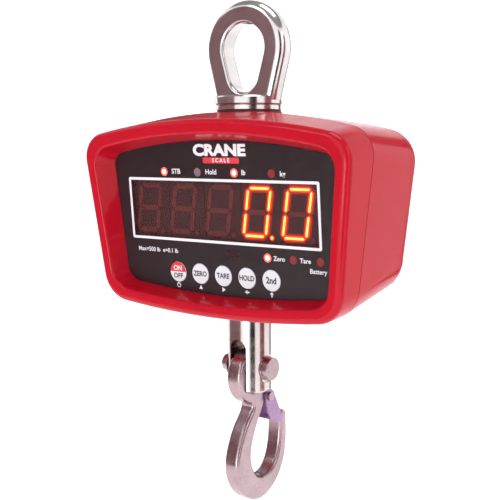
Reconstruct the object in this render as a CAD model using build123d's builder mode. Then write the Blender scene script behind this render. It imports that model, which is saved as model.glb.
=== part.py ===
from build123d import *

import math
import os
from dataclasses import dataclass

# Hanging crane scale. Millimetres, +Z up, display facing -Y, +X to the reader's right.
# The origin is the centre of the round bearing arc of the lifting eye, on the load axis.

os.makedirs("parts", exist_ok=True)

# ---- overall housing ------------------------------------------------------
HOUSING_W = 193.0  # widest, at the seam
HOUSING_H = 118.3  # at the seam
SEAM_Y = -20.4  # rear end of the front frame
REAR_Y = 43.0
SIDE_TAPER = 11.0  # each side comes in by this much towards the bottom
REAR_SLOPE = 2.8  # the roof falls by this much from the seam to the rear wall
REAR_RISE = 7.9  # the floor rises by this much from the seam to the rear wall
FACE_TILT = 5.0  # the display looks slightly down at the reader, degrees
FACE_Y = -30.0  # display window centre on the panel surface
FACE_DROP = 57.4  # and below the top of the housing
RIM_DROP = 3.5  # the rim's top edge is this much lower than the seam's
RIM_LESS_H = 2.9  # the rim is this much lower and narrower than the seam
RIM_LESS_W = 0.7
RECESS_DEPTH = 12.0  # the rim stands this far in front of the panel
RIM_TOP_BAND = 8.0  # width of the rim's face above, below and beside the recess's mouth
RIM_LOW_BAND = 8.2
RIM_SIDE_BAND = 9.0
RIM_HEEL_BAND = 6.8
DRAFT_TOP = 4.6  # the recess opens by this much from the panel to its mouth
DRAFT_SIDE = 6.8
DRAFT_LOW = 3.0
WALL = 3.0
GASKET_T = 0.5
GASKET_INSET = 0.5
RIM_ROUND = 4.0
MOUTH_ROUND = 2.0
REAR_ROUND = 15.0

# ---- front panel and what sits behind it ----------------------------------
PANEL_T = 2.0
PANEL_GAP = 0.15
LEDGE = 3.5  # width of the shelf that the panel rests on
FLOOR_T = 2.5
WINDOW_H = 34.6
WINDOW_LESS_W = 0.7  # the window is this much narrower than the row of digits
WINDOW_GAP = 0.05  # round the window and below the panel surface
DIGIT_DEPTH = 4.0  # digit faces behind the panel surface
BOARD_DEPTH = 10.4  # front of the display board behind the panel surface
BOARD_T = 1.6
DIGIT_COUNT = 5
DIGIT_PITCH = 27.0
MODULE_W = 26.6
MODULE_H = 38.0
WINDOW_W = DIGIT_COUNT * DIGIT_PITCH - WINDOW_LESS_W
DIGIT_W = 18.4
DIGIT_H = 30.5
DIGIT_SHIFT = -2.7  # character centre from its module's centre
DIGIT_SLANT = 10.5
SEGMENT_W = 3.0
SEGMENT_GAP = 0.35
SEGMENT_T = 0.4
POINT_R = 1.5
POINT_X = 6.7  # decimal point from its module's centre
POINT_T = -14.2
LED_R = 2.5
LED_LENGTH = 8.6
LED_GAP = 0.15
LED_SUNK = 0.1
LED_FLANGE = 0.4
TOP_LED_T = 22.6
LOW_LED_T = -25.1
LED_STB_S = -39.8
LED_HOLD_S = -14.4
LED_LB_S = 12.2
LED_KG_S = 37.8
LED_ZERO_S = 32.4
LED_TARE_S = 49.6
LED_BATTERY_S = 67.2
RECEIVER_S = 7.8
RECEIVER_T = -24.3
RECEIVER_W = 10.0
RECEIVER_H = 4.0
RECEIVER_GAP = 0.1
BOARD_SIDE = 7.85  # the display board reaches this far past the window
BOARD_TOP = 34.0
BOARD_LOW = -28.5
BOARD_SCREW_IN = 5.0
BOARD_SCREW_DOWN = 6.0
BOARD_SCREW_UP = 14.0
POST_R = 2.2

# ---- keys -----------------------------------------------------------------
KEY_R = 6.2
KEY_PITCH = 17.1
KEY_T = -38.1
KEY_GAP = 0.3  # round the cap in its hole
KEY_TRAVEL = 0.5
KEY_FLANGE = 0.6  # wider than the hole, so that the cap can't fall out
KEY_FLANGE_T = 0.6
KEY_STEM_R = 2.0
KEY_EDGE = 0.25
KEY_REST_GAP = 0.05  # between the flange and the back of the panel
KEY_BOARD_DEPTH = 6.6
SWITCH_SIZE = 6.0
SWITCH_H = 1.5
PLUNGER_R = 1.6
PLUNGER_H = 0.3
STEM_GAP = 0.05  # between a pressed key's stem and the plunger
KEY_COUNT = 5
KEY_BOARD_W = KEY_COUNT * KEY_PITCH + 36.0
KEY_BOARD_H = 16.0
KEY_POST_IN = 3.5

# ---- screws ---------------------------------------------------------------
UPPER_SCREW_IN = 12.5  # from the seam's side, top and bottom
UPPER_SCREW_DOWN = 22.0
LOWER_SCREW_IN = 6.5
LOWER_SCREW_UP = 21.3
SCREW_R = 2.0
SCREW_HEAD_R = 3.5
SCREW_HEAD_H = 2.6
SCREW_CLEAR = 0.2
BOSS_R = 5.5
HEAD_SEAT_Y = 29.0
FRAME_BOSS_L = 10.0
SMALL_R = 1.25
SMALL_HEAD_R = 2.5
SMALL_HEAD_H = 1.6
HEAD_CLEAR = 0.3
SCREW_END_GAP = 1.0  # screws end this far before the bottom of their holes

# ---- load path ------------------------------------------------------------
EYE_R = 28.0
EYE_HOLE_R = 14.7
EYE_T = 13.4
EYE_ROUND = 5.2
EYE_HOLE_ROUND = 2.2
EYE_LOW_R = 10.5  # lower round of the pear-shaped hole
EYE_LOW_Z = -15.0
EYE_FOOT_R = 21.5  # lower round of the pear-shaped outline
EYE_FOOT_Z = -25.5
COLLAR_R = 20.2
COLLAR_TOP = -27.8
COLLAR_H = 5.2
COLLAR_EDGE = 0.8
RING_R = 19.6
RING_H = 3.2
TOP_GASKET_T = 1.0
HOUSING_TOP = COLLAR_TOP - COLLAR_H - RING_H - TOP_GASKET_T
HOUSING_BOTTOM = HOUSING_TOP - HOUSING_H
FACE_Z = HOUSING_TOP - FACE_DROP
TOP_PAD_H = 5.6
PAD_MORE_R = 0.2
RING_EDGE = 0.5
CLAMP_WASHER_R = 16.0
SHANK_HOLE_GAP = 0.3
CLAMP_WASHER_T = 1.5
SHANK_R = 8.0
FIT = 0.05  # radial clearance of screwed and turning fits
CELL_W = 50.0
CELL_D = 24.0
CELL_H = 60.0
CELL_THREAD = 15.0
CELL_SLOT = 3.0
CELL_BORE_R = 9.0
CELL_SHIFT = 4.0  # each slot is cut in from its own side
CELL_EDGE = 1.5
GAUGE_COVER_T = 0.8
GAUGE_COVER_LAP = 1.2
CUP_R = 15.0
CUP_WALL = 2.0
CUP_H = 38.0
CUP_ROOF = 4.0
CAP_PLUG_H = 6.5
CAP_FLANGE_T = 2.5
RACE_T = 2.8
RACE_BORE_CLEAR = 0.4
BALL_R = 1.7
BALL_COUNT = 12
STEM_R = 6.0
NUT_FLATS = 19.0
NUT_H = 10.0
NUT_SLOT_H = 3.0
SPLIT_PIN_R = 1.0
SPLIT_PIN_RISE = 0.2  # above the bottom of the nut's slots
SPLIT_PIN_OUT = 1.0
RACE_GAP = 0.3  # round the races in the cup
STEM_SPARE = 2.0  # the stem stands this far above its nut
CAGE_T = 1.2
CAGE_LIP = 0.5

# ---- fork, pin, hook and latch --------------------------------------------
FORK_R = 13.3
FORK_CHAMFER = 1.2
SWIVEL_GAP = 1.0  # fork shoulder below the swivel cap
FLOOR_HOLE_GAP = 1.0
PIN_DROP = 35.5  # pin axis below the housing
PIN_Z = HOUSING_BOTTOM - PIN_DROP
PIN_R = 5.0
PIN_HEAD_LAP = 2.0  # the head is this much larger than the pin in radius
PIN_HEAD_R = PIN_R + PIN_HEAD_LAP
PIN_HEAD_T = 3.6
PIN_HEAD_ROUND = 0.7
PIN_WASHER_T = 1.2
PIN_WASHER_LAP = 0.5
PIN_TAIL = 5.0
PIN_TAIL_EDGE = 0.6
GROOVE_DEPTH = 0.8
TAIL_RING_T = 1.2
TAIL_RING_LAP = 1.0
FORK_BELOW = 14.5  # the cheeks reach this far below the pin's axis
FORK_END = PIN_Z - FORK_BELOW
FLAT_DEPTH = 0.9
FORK_FLAT = FORK_R - FLAT_DEPTH  # flats under the pin's head and tail, from the axis
FLAT_LAP = 1.6
HOOK_T = 10.6
SLOT_GAP = 0.4  # each side of the hook in the fork's slot
SLOT_W = HOOK_T + 2 * SLOT_GAP
SLOT_RISE = 18.2  # top of the slot above the pin's axis
SLOT_TOP = PIN_Z + SLOT_RISE
HOOK_ROUND = 2.4
HOOK_EYE_HOLE_R = 10.5
HOOK_EYE_BAR = 7.0
HOOK_EYE_R = HOOK_EYE_HOLE_R + HOOK_EYE_BAR
HOOK_EYE_Z = PIN_Z - (HOOK_EYE_HOLE_R - PIN_R - FIT)  # the eye hangs on the pin
LATCH_PIN_Y = 11.5
LATCH_PIN_DROP = 20.8
LATCH_PIN_Z = PIN_Z - LATCH_PIN_DROP
LATCH_PIN_R = 1.7
LUG_R = 3.1
WAIST_R = 3.0
LUG_BLEND_R = 1.2
LATCH_SHEET = 1.2
LATCH_CLEAR = 0.5  # between the hook's cheeks and the latch's flanges
LATCH_EAR_R = 4.4
RIVET_HEAD_R = 2.8
RIVET_HEAD_T = 1.1
RIVET_PLAY = 0.1
SPRING_WIRE_R = 0.45
SPRING_R = 2.5
SPRING_TURNS = 3
SPRING_GAP = 0.6  # between the coil's ends and the lug and flange
LUG_WEB = 2.6  # half thickness of the lug beside the spring

# ---- power and the control board ------------------------------------------
BATTERY_W = 97.0
BATTERY_D = 22.0
BATTERY_H = 50.0
BATTERY_DROP = 61.8  # centre below the top of the housing
BATTERY_Z = HOUSING_TOP - BATTERY_DROP
BATTERY_CLEAR = 0.5
COVER_LAP = 1.5  # the opening is this much larger than the battery's space, each side
COVER_FLANGE = 6.0
COVER_GAP = 0.2
COVER_T = 1.5
COVER_BOSS_R = 3.2
COVER_BOSS_L = 5.0
COVER_SCREW_IN = 8.0
JACK_GAP = 15.5  # socket axis beside the battery opening
JACK_DROP = 19.0  # and below the battery's centre
JACK_R = 4.0
JACK_WALL = 1.25
JACK_LIP = 0.6
JACK_BORE = 7.0
JACK_BODY = 6.0
JACK_CONTACT_R = 1.0
JACK_CONTACT_L = 8.0
JACK_NUT_R = 5.6
JACK_NUT_T = 1.6
JACK_COLLAR_T = 2.0
LABEL_W = 64.0
LABEL_H = 14.0
LABEL_T = 0.3
LABEL_GAP = 6.0
CONTROL_GAP = 28.0  # board centre beside the load cell
CONTROL_DROP = 50.8
CONTROL_W = 44.0
CONTROL_H = 62.0
CONTROL_Y = 12.0
SNAP_HEAD_H = 1.0
CHIP_H = 2.4
BUZZER_R = 6.0
BUZZER_H = 7.0


def face(depth=0.0):
    """Plane parallel to the display panel, depth behind its surface; x is +X and y is up."""
    tilt = math.radians(FACE_TILT)
    normal = Vector(0, -math.cos(tilt), -math.sin(tilt))
    return Plane(origin=Vector(0, FACE_Y, FACE_Z) - normal * depth, x_dir=(1, 0, 0), z_dir=normal)


def upright(y):
    """Vertical plane at y that faces the reader; its own x and y are the model's X and Z."""
    return Plane(origin=(0, y, 0), x_dir=(1, 0, 0), z_dir=(0, -1, 0))


def level(z):
    """Horizontal plane at height z."""
    return Plane.XY.offset(z)


def save(piece, name):
    """Label a finished piece and write it."""
    piece.part.label = name
    export_step(piece.part, f"parts/{name}.step")


@dataclass(frozen=True)
class Outline:
    """Crowned trapezium with rounded corners: two long arcs and two straight sides."""

    top: float
    bottom: float
    half_top: float
    half_bottom: float
    crown_top: float
    crown_bottom: float
    corner_top: float
    corner_bottom: float

    def sketch(self, plane, inset=0.0):
        """The outline on a plane, moved inwards all round by inset."""
        half_top = self.half_top - inset
        half_bottom = self.half_bottom - inset
        top = self.top - inset
        bottom = self.bottom + inset
        shoulder = top - half_top**2 / (2 * self.crown_top)
        heel = bottom + half_bottom**2 / (2 * self.crown_bottom)
        with BuildSketch(plane) as outline:
            with BuildLine():
                roof = ThreePointArc((-half_top, shoulder), (0, top), (half_top, shoulder))
                right = Line(roof @ 1, (half_bottom, heel))
                base = ThreePointArc(right @ 1, (0, bottom), (-half_bottom, heel))
                Line(base @ 1, roof @ 0)
            make_face()
            corners = outline.vertices().group_by(Axis.Y)
            fillet(corners[0], self.corner_bottom - inset)
            corners = outline.vertices().group_by(Axis.Y)
            fillet(corners[-1], self.corner_top - inset)
        return outline.sketch


# the seam and the rear wall are upright; the rim and the panel are on the tilted face,
# with heights from the middle of the display window
SEAM = Outline(HOUSING_TOP, HOUSING_BOTTOM, HOUSING_W / 2, HOUSING_W / 2 - SIDE_TAPER, 380, 600, 17, 19)
REAR = Outline(
    top=HOUSING_TOP - REAR_SLOPE,
    bottom=HOUSING_BOTTOM + REAR_SLOPE + REAR_RISE,
    half_top=SEAM.half_top - 1.0,
    half_bottom=SEAM.half_bottom - 1.0,
    crown_top=380,
    crown_bottom=600,
    corner_top=20,
    corner_bottom=22,
)
RIM = Outline(
    top=FACE_DROP - RIM_DROP,
    bottom=FACE_DROP - RIM_DROP - HOUSING_H + RIM_LESS_H,
    half_top=SEAM.half_top - RIM_LESS_W,
    half_bottom=SEAM.half_top - RIM_LESS_W - SIDE_TAPER - 0.5,
    crown_top=435,
    crown_bottom=600,
    corner_top=16,
    corner_bottom=18,
)
MOUTH = Outline(
    top=RIM.top - RIM_TOP_BAND,
    bottom=RIM.bottom + RIM_LOW_BAND,
    half_top=RIM.half_top - RIM_SIDE_BAND,
    half_bottom=RIM.half_bottom - RIM_HEEL_BAND,
    crown_top=385,
    crown_bottom=560,
    corner_top=12,
    corner_bottom=13,
)
PANEL = Outline(
    top=MOUTH.top - DRAFT_TOP,
    bottom=MOUTH.bottom + DRAFT_LOW,
    half_top=MOUTH.half_top - DRAFT_SIDE,
    half_bottom=MOUTH.half_bottom - DRAFT_LOW,
    crown_top=363,
    crown_bottom=540,
    corner_top=8,
    corner_bottom=10,
)


def both_sides(x, z):
    """A point and its mirror image across the load axis."""
    return [(-x, z), (x, z)]


# screw bosses stand in the four corners of the seam
SCREW_PLACES = [
    *both_sides(SEAM.half_top - UPPER_SCREW_IN, HOUSING_TOP - UPPER_SCREW_DOWN),
    *both_sides(SEAM.half_bottom - LOWER_SCREW_IN, HOUSING_BOTTOM + LOWER_SCREW_UP),
]
BOARD_W = WINDOW_W + 2 * BOARD_SIDE
BOARD_MID = (BOARD_TOP + BOARD_LOW) / 2
BOARD_H = BOARD_TOP - BOARD_LOW
BOARD_SCREWS = [
    *both_sides(BOARD_W / 2 - BOARD_SCREW_IN, BOARD_TOP - BOARD_SCREW_DOWN),
    *both_sides(BOARD_W / 2 - BOARD_SCREW_IN, BOARD_LOW + BOARD_SCREW_UP),
]
KEY_POSTS = both_sides(KEY_BOARD_W / 2 - KEY_POST_IN, KEY_T)
COVER_W = BATTERY_W + 2 * (BATTERY_CLEAR + COVER_LAP)
COVER_H = BATTERY_H + 2 * (BATTERY_CLEAR + COVER_LAP)
COVER_SCREW_X = COVER_W / 2 + COVER_FLANGE / 2
COVER_SCREWS = [
    *both_sides(COVER_SCREW_X, BATTERY_Z - COVER_H / 2 + COVER_SCREW_IN),
    *both_sides(COVER_SCREW_X, BATTERY_Z + COVER_H / 2 - COVER_SCREW_IN),
]
JACK_PLACE = (COVER_W / 2 + JACK_GAP, BATTERY_Z - JACK_DROP)
CONTROL_X = CELL_W / 2 + CONTROL_GAP
CONTROL_Z = HOUSING_TOP - CONTROL_DROP
CONTROL_POSTS = [(CONTROL_X + 5.0, CONTROL_Z + 22.0), (CONTROL_X + 7.0, CONTROL_Z - 14.0)]
TAIL_RING_X = -FORK_FLAT - PIN_WASHER_T - TAIL_RING_T - 2 * FIT

PAD_BOTTOM = HOUSING_TOP - TOP_PAD_H
CELL_TOP = PAD_BOTTOM - CLAMP_WASHER_T
CELL_BOTTOM = CELL_TOP - CELL_H
CUP_BOTTOM = CELL_BOTTOM - CUP_H
CAP_BOTTOM = CUP_BOTTOM - CAP_FLANGE_T
FORK_TOP = CAP_BOTTOM - SWIVEL_GAP
LOWER_RACE_Z = CUP_BOTTOM + CAP_PLUG_H
BALL_Z = LOWER_RACE_Z + RACE_T + BALL_R + FIT
UPPER_RACE_Z = BALL_Z + BALL_R + FIT
NUT_Z = UPPER_RACE_Z + RACE_T
STEM_TOP = NUT_Z + NUT_H + STEM_SPARE
SPLIT_PIN_Z = NUT_Z + NUT_H - NUT_SLOT_H + SPLIT_PIN_R + SPLIT_PIN_RISE
CUP_BORE = CUP_R - CUP_WALL
RACE_R = CUP_BORE - RACE_GAP
BALL_CIRCLE = (STEM_R + RACE_R) / 2


# ---- housing --------------------------------------------------------------
def make_front_frame():
    """Die-cast front ring: hollow rim, drafted recess and the shelf for the panel."""
    with BuildPart() as front_frame:
        loft(sections=[RIM.sketch(face(-RECESS_DEPTH)), SEAM.sketch(upright(SEAM_Y))], ruled=True)
        fillet(front_frame.faces().sort_by(Axis.Y)[0].edges(), RIM_ROUND)
        hollow = [RIM.sketch(face(WALL - RECESS_DEPTH), WALL), SEAM.sketch(upright(SEAM_Y), WALL)]
        loft(sections=hollow, ruled=True, mode=Mode.SUBTRACT)
        skirt = [
            MOUTH.sketch(face(1.0 - RECESS_DEPTH), -WALL),
            PANEL.sketch(face(PANEL_T + FLOOR_T), -WALL),
        ]
        loft(sections=skirt, ruled=True)
        with BuildSketch(upright(SEAM_Y)):
            with Locations(*SCREW_PLACES):
                Circle(BOSS_R)
        extrude(amount=FRAME_BOSS_L)
        recess = [MOUTH.sketch(face(-RECESS_DEPTH)), PANEL.sketch(face())]
        loft(sections=recess, ruled=True, mode=Mode.SUBTRACT)
        extrude(PANEL.sketch(face()), amount=-PANEL_T, mode=Mode.SUBTRACT)
        extrude(PANEL.sketch(face(), LEDGE), amount=-4 * FLOOR_T, mode=Mode.SUBTRACT)
        with BuildSketch(upright(SEAM_Y)):
            with Locations(*SCREW_PLACES):
                Circle(SCREW_R + SCREW_CLEAR)
        extrude(amount=FRAME_BOSS_L - WALL, mode=Mode.SUBTRACT)
        flats = front_frame.faces().filter_by(GeomType.PLANE)
        rim_face = flats.sort_by(lambda flat: flat.center().dot(face().z_dir))[-1]
        fillet(rim_face.inner_wires()[0].edges(), MOUTH_ROUND)
    save(front_frame, "front_frame")


def make_seam_gasket():
    """Flat gasket between the two housing halves."""
    with BuildPart() as seam_gasket:
        extrude(SEAM.sketch(upright(SEAM_Y), GASKET_INSET), amount=-GASKET_T)
        extrude(SEAM.sketch(upright(SEAM_Y), WALL), amount=-GASKET_T, mode=Mode.SUBTRACT)
    save(seam_gasket, "seam_gasket")


def make_tub_cavity():
    """Space inside the rear housing, with the screw bosses left standing in it."""
    with BuildPart() as tub_cavity:
        walls = [
            SEAM.sketch(upright(SEAM_Y + GASKET_T), WALL),
            REAR.sketch(upright(REAR_Y - WALL), WALL),
        ]
        loft(sections=walls, ruled=True)
        fillet(tub_cavity.faces().sort_by(Axis.Y)[-1].edges(), REAR_ROUND - WALL)
        with BuildSketch(upright(SEAM_Y + GASKET_T)):
            with Locations(*SCREW_PLACES):
                Circle(BOSS_R)
        extrude(amount=-2 * REAR_Y, mode=Mode.SUBTRACT)
        with BuildSketch(level(PAD_BOTTOM)):
            Circle(RING_R + PAD_MORE_R)
        extrude(amount=2 * TOP_PAD_H, mode=Mode.SUBTRACT)
        with BuildSketch(upright(REAR_Y - WALL)):
            with Locations(*COVER_SCREWS):
                Circle(COVER_BOSS_R)
        extrude(amount=COVER_BOSS_L, mode=Mode.SUBTRACT)
    return tub_cavity.part


def make_rear_housing():
    """Rear tub with the eye pad, the fork hole, the battery opening and the charger hole."""
    cavity = make_tub_cavity()
    with BuildPart() as rear_housing:
        sections = [SEAM.sketch(upright(SEAM_Y + GASKET_T)), REAR.sketch(upright(REAR_Y))]
        loft(sections=sections, ruled=True)
        fillet(rear_housing.faces().sort_by(Axis.Y)[-1].edges(), REAR_ROUND)
        add(cavity, mode=Mode.SUBTRACT)
        with BuildSketch(level(PAD_BOTTOM)):
            Circle(RING_R + PAD_MORE_R)
        extrude(amount=TOP_PAD_H)
        with BuildSketch(level(PAD_BOTTOM - WALL)):
            Circle(SHANK_R + SHANK_HOLE_GAP)
        extrude(amount=2 * TOP_PAD_H, mode=Mode.SUBTRACT)
        with BuildSketch(level(FORK_TOP)):
            Circle(FORK_R + FLOOR_HOLE_GAP)
        extrude(amount=-30.0, mode=Mode.SUBTRACT)
        with BuildSketch(upright(REAR_Y)):
            with Locations((0, BATTERY_Z)):
                Rectangle(COVER_W + 2 * COVER_FLANGE, COVER_H)
        extrude(amount=COVER_T, mode=Mode.SUBTRACT)
        with BuildSketch(upright(REAR_Y)):
            with Locations((0, BATTERY_Z)):
                Rectangle(COVER_W, COVER_H)
        extrude(amount=WALL, mode=Mode.SUBTRACT)
        with BuildSketch(upright(REAR_Y)):
            with Locations(*COVER_SCREWS):
                Circle(SMALL_R + SCREW_CLEAR)
        extrude(amount=WALL + COVER_BOSS_L, mode=Mode.SUBTRACT)
        with BuildSketch(upright(REAR_Y)):
            with Locations(JACK_PLACE):
                Circle(JACK_R + SCREW_CLEAR)
        extrude(amount=2 * WALL, mode=Mode.SUBTRACT)
        with BuildSketch(upright(REAR_Y)):
            with Locations(*SCREW_PLACES):
                Circle(SCREW_HEAD_R + HEAD_CLEAR)
        extrude(amount=REAR_Y - HEAD_SEAT_Y, mode=Mode.SUBTRACT)
        with BuildSketch(upright(REAR_Y)):
            with Locations(*SCREW_PLACES):
                Circle(SCREW_R + SCREW_CLEAR)
        extrude(amount=REAR_Y - SEAM_Y, mode=Mode.SUBTRACT)
    save(rear_housing, "rear_housing")


def make_housing_screws():
    """Four long screws that pull the rear tub against the front frame."""
    with BuildPart() as housing_screws:
        with BuildSketch(upright(HEAD_SEAT_Y + SCREW_HEAD_H)):
            with Locations(*SCREW_PLACES):
                Circle(SCREW_HEAD_R)
        extrude(amount=SCREW_HEAD_H)
        with BuildSketch(upright(HEAD_SEAT_Y)):
            with Locations(*SCREW_PLACES):
                Circle(SCREW_R)
        extrude(amount=HEAD_SEAT_Y - SEAM_Y + FRAME_BOSS_L - WALL - SCREW_END_GAP)
        with BuildSketch(upright(HEAD_SEAT_Y + SCREW_HEAD_H)):
            with Locations(*SCREW_PLACES):
                Rectangle(3.6, 0.9)
                Rectangle(0.9, 3.6)
        extrude(amount=1.4, mode=Mode.SUBTRACT)
    save(housing_screws, "housing_screws")


# ---- front panel ----------------------------------------------------------
KEY_NAMES = ["key_power", "key_zero", "key_tare", "key_hold", "key_second"]
KEY_PLACES = [((i - (len(KEY_NAMES) - 1) / 2) * KEY_PITCH, KEY_T) for i in range(len(KEY_NAMES))]
LIT_LEDS = [(LED_STB_S, TOP_LED_T), (LED_LB_S, TOP_LED_T), (LED_ZERO_S, LOW_LED_T)]
DARK_LEDS = [(LED_KG_S, TOP_LED_T), (LED_TARE_S, LOW_LED_T), (LED_BATTERY_S, LOW_LED_T)]
HOLD_LED = [(LED_HOLD_S, TOP_LED_T)]


def make_front_panel():
    """Dark panel with the display window and holes for the lamps, receiver and keys."""
    with BuildPart() as front_panel:
        extrude(PANEL.sketch(face(), PANEL_GAP), amount=-PANEL_T)
        with BuildSketch(face()):
            Rectangle(WINDOW_W, WINDOW_H)
            with Locations((RECEIVER_S, RECEIVER_T)):
                Rectangle(RECEIVER_W, RECEIVER_H)
            with Locations(*LIT_LEDS, *DARK_LEDS, *HOLD_LED):
                Circle(LED_R + LED_GAP)
            with Locations(*KEY_PLACES):
                Circle(KEY_R + KEY_GAP)
        extrude(amount=-PANEL_T, mode=Mode.SUBTRACT)
    save(front_panel, "front_panel")


def make_window_lens():
    """Smoked display window, flush in the panel."""
    with BuildPart() as window_lens:
        with BuildSketch(face(WINDOW_GAP)):
            Rectangle(WINDOW_W - 2 * WINDOW_GAP, WINDOW_H - 2 * WINDOW_GAP)
        extrude(amount=WINDOW_GAP - PANEL_T)
    save(window_lens, "window_lens")


def make_receiver():
    """Receiver for the remote control: a tinted block behind its own small window."""
    with BuildPart() as remote_receiver:
        with BuildSketch(face(WINDOW_GAP)):
            with Locations((RECEIVER_S, RECEIVER_T)):
                Rectangle(RECEIVER_W - 2 * RECEIVER_GAP, RECEIVER_H - 2 * RECEIVER_GAP)
        extrude(amount=WINDOW_GAP - BOARD_DEPTH)
    save(remote_receiver, "remote_receiver")


def make_lamps(name, places):
    """Round indicator lamps that reach from the display board to the panel's face."""
    with BuildPart() as lamps:
        with BuildSketch(face(LED_SUNK)):
            with Locations(*places):
                Circle(LED_R)
        extrude(amount=-LED_LENGTH)
        with BuildSketch(face(LED_SUNK + LED_LENGTH)):
            with Locations(*places):
                Circle(LED_R + LED_FLANGE)
        extrude(amount=LED_SUNK + LED_LENGTH - BOARD_DEPTH)
    save(lamps, name)


def make_digit_modules():
    """Display digit blocks, side by side behind the window."""
    for index in range(DIGIT_COUNT):
        place = (index - (DIGIT_COUNT - 1) / 2) * DIGIT_PITCH
        with BuildPart() as digit:
            with BuildSketch(face(DIGIT_DEPTH)):
                with Locations((place, 0)):
                    Rectangle(MODULE_W, MODULE_H)
            extrude(amount=DIGIT_DEPTH - BOARD_DEPTH)
        save(digit, f"digit_{index + 1}")


def bar(half, across, upright_bar):
    """Pointed segment bar about its own centre, lying along X or standing."""
    points = [
        (-half, 0),
        (across - half, across),
        (half - across, across),
        (half, 0),
        (half - across, -across),
        (across - half, -across),
    ]
    return [(y, x) for x, y in points] if upright_bar else points


def segment_bars():
    """The seven bars of a digit, a to g: centre, half length and whether it stands."""
    half_w = SEGMENT_W / 2
    side = DIGIT_W / 2 - half_w
    height = DIGIT_H / 2 - half_w
    flat = side - SEGMENT_GAP
    tall = height / 2 - SEGMENT_GAP
    return {
        "a": (0, height, flat, False),
        "b": (side, height / 2, tall, True),
        "c": (side, -height / 2, tall, True),
        "d": (0, -height, flat, False),
        "e": (-side, -height / 2, tall, True),
        "f": (-side, height / 2, tall, True),
        "g": (0, 0, flat, False),
    }


def make_segments(name, shown, points):
    """Segment bars and decimal points that are lit, or dark, as one group."""
    lean = math.tan(math.radians(DIGIT_SLANT))
    with BuildPart() as segments:
        with BuildSketch(face(DIGIT_DEPTH)):
            for index, letters in enumerate(shown):
                module = (index - (DIGIT_COUNT - 1) / 2) * DIGIT_PITCH
                for letter in letters:
                    x, y, half, stands = segment_bars()[letter]
                    corners = [(x + dx, y + dy) for dx, dy in bar(half, SEGMENT_W / 2, stands)]
                    centre = module + DIGIT_SHIFT
                    Polygon(*[(centre + a + b * lean, b) for a, b in corners], align=None)
                if index in points:
                    with Locations((module + POINT_X, POINT_T)):
                        Circle(POINT_R)
        extrude(amount=SEGMENT_T)
    save(segments, name)


def make_display_board():
    """Display circuit board with holes for its corner screws."""
    with BuildPart() as display_board:
        with BuildSketch(face(BOARD_DEPTH)):
            with Locations((0, BOARD_MID)):
                RectangleRounded(BOARD_W, BOARD_H, 2.0)
            with Locations(*BOARD_SCREWS):
                Circle(SMALL_R + SCREW_CLEAR, mode=Mode.SUBTRACT)
        extrude(amount=-BOARD_T)
    save(display_board, "display_board")


def make_board_posts():
    """Spacers between the panel's shelf and the display board."""
    with BuildPart() as board_posts:
        with BuildSketch(face(PANEL_T)):
            with Locations(*BOARD_SCREWS):
                Circle(POST_R)
                Circle(SMALL_R + SCREW_CLEAR, mode=Mode.SUBTRACT)
        extrude(amount=PANEL_T - BOARD_DEPTH)
    save(board_posts, "board_posts")


def make_board_screws():
    """Screws that hold the display board on its posts."""
    back = BOARD_DEPTH + BOARD_T
    with BuildPart() as board_screws:
        with BuildSketch(face(back)):
            with Locations(*BOARD_SCREWS):
                Circle(SMALL_HEAD_R)
        extrude(amount=-SMALL_HEAD_H)
        with BuildSketch(face(back)):
            with Locations(*BOARD_SCREWS):
                Circle(SMALL_R)
        extrude(amount=back - PANEL_T - SCREW_END_GAP)
    save(board_screws, "board_screws")


def make_keys():
    """Round key caps: flush disc, hidden flange and a stem that meets the switch."""
    stem_end = KEY_BOARD_DEPTH - SWITCH_H - PLUNGER_H - KEY_TRAVEL - STEM_GAP
    for name, place in zip(KEY_NAMES, KEY_PLACES):
        with BuildPart() as key:
            with BuildSketch(face()):
                with Locations(place):
                    Circle(KEY_R)
            extrude(amount=-PANEL_T - KEY_REST_GAP)
            chamfer(key.faces().sort_by(Axis.Y)[0].edges(), KEY_EDGE)
            with BuildSketch(face(PANEL_T + KEY_REST_GAP)):
                with Locations(place):
                    Circle(KEY_R + KEY_FLANGE)
            extrude(amount=-KEY_FLANGE_T)
            with BuildSketch(face(PANEL_T)):
                with Locations(place):
                    Circle(KEY_STEM_R)
            extrude(amount=PANEL_T - stem_end)
        save(key, name)


def make_key_board():
    """Narrow circuit board under the keys."""
    with BuildPart() as key_board:
        with BuildSketch(face(KEY_BOARD_DEPTH)):
            with Locations((0, KEY_T)):
                RectangleRounded(KEY_BOARD_W, KEY_BOARD_H, 1.5)
        extrude(amount=-BOARD_T)
    save(key_board, "key_board")


def make_key_posts():
    """Spacers that carry the key board from the back of the panel."""
    with BuildPart() as key_posts:
        with BuildSketch(face(PANEL_T)):
            with Locations(*KEY_POSTS):
                Circle(POST_R)
        extrude(amount=PANEL_T - KEY_BOARD_DEPTH)
    save(key_posts, "key_posts")


def make_key_switches():
    """Push switches on the key board, one under each cap."""
    with BuildPart() as key_switches:
        with BuildSketch(face(KEY_BOARD_DEPTH)):
            with Locations(*KEY_PLACES):
                Rectangle(SWITCH_SIZE, SWITCH_SIZE)
        extrude(amount=SWITCH_H)
        with BuildSketch(face(KEY_BOARD_DEPTH - SWITCH_H)):
            with Locations(*KEY_PLACES):
                Circle(PLUNGER_R)
        extrude(amount=PLUNGER_H)
    save(key_switches, "key_switches")


# ---- load path ------------------------------------------------------------
def cheeks_of(piece):
    """The front and the rear flat face of a piece."""
    ordered = piece.faces().filter_by(GeomType.PLANE).sort_by(Axis.Y)
    return [ordered[0], ordered[-1]]


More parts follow.
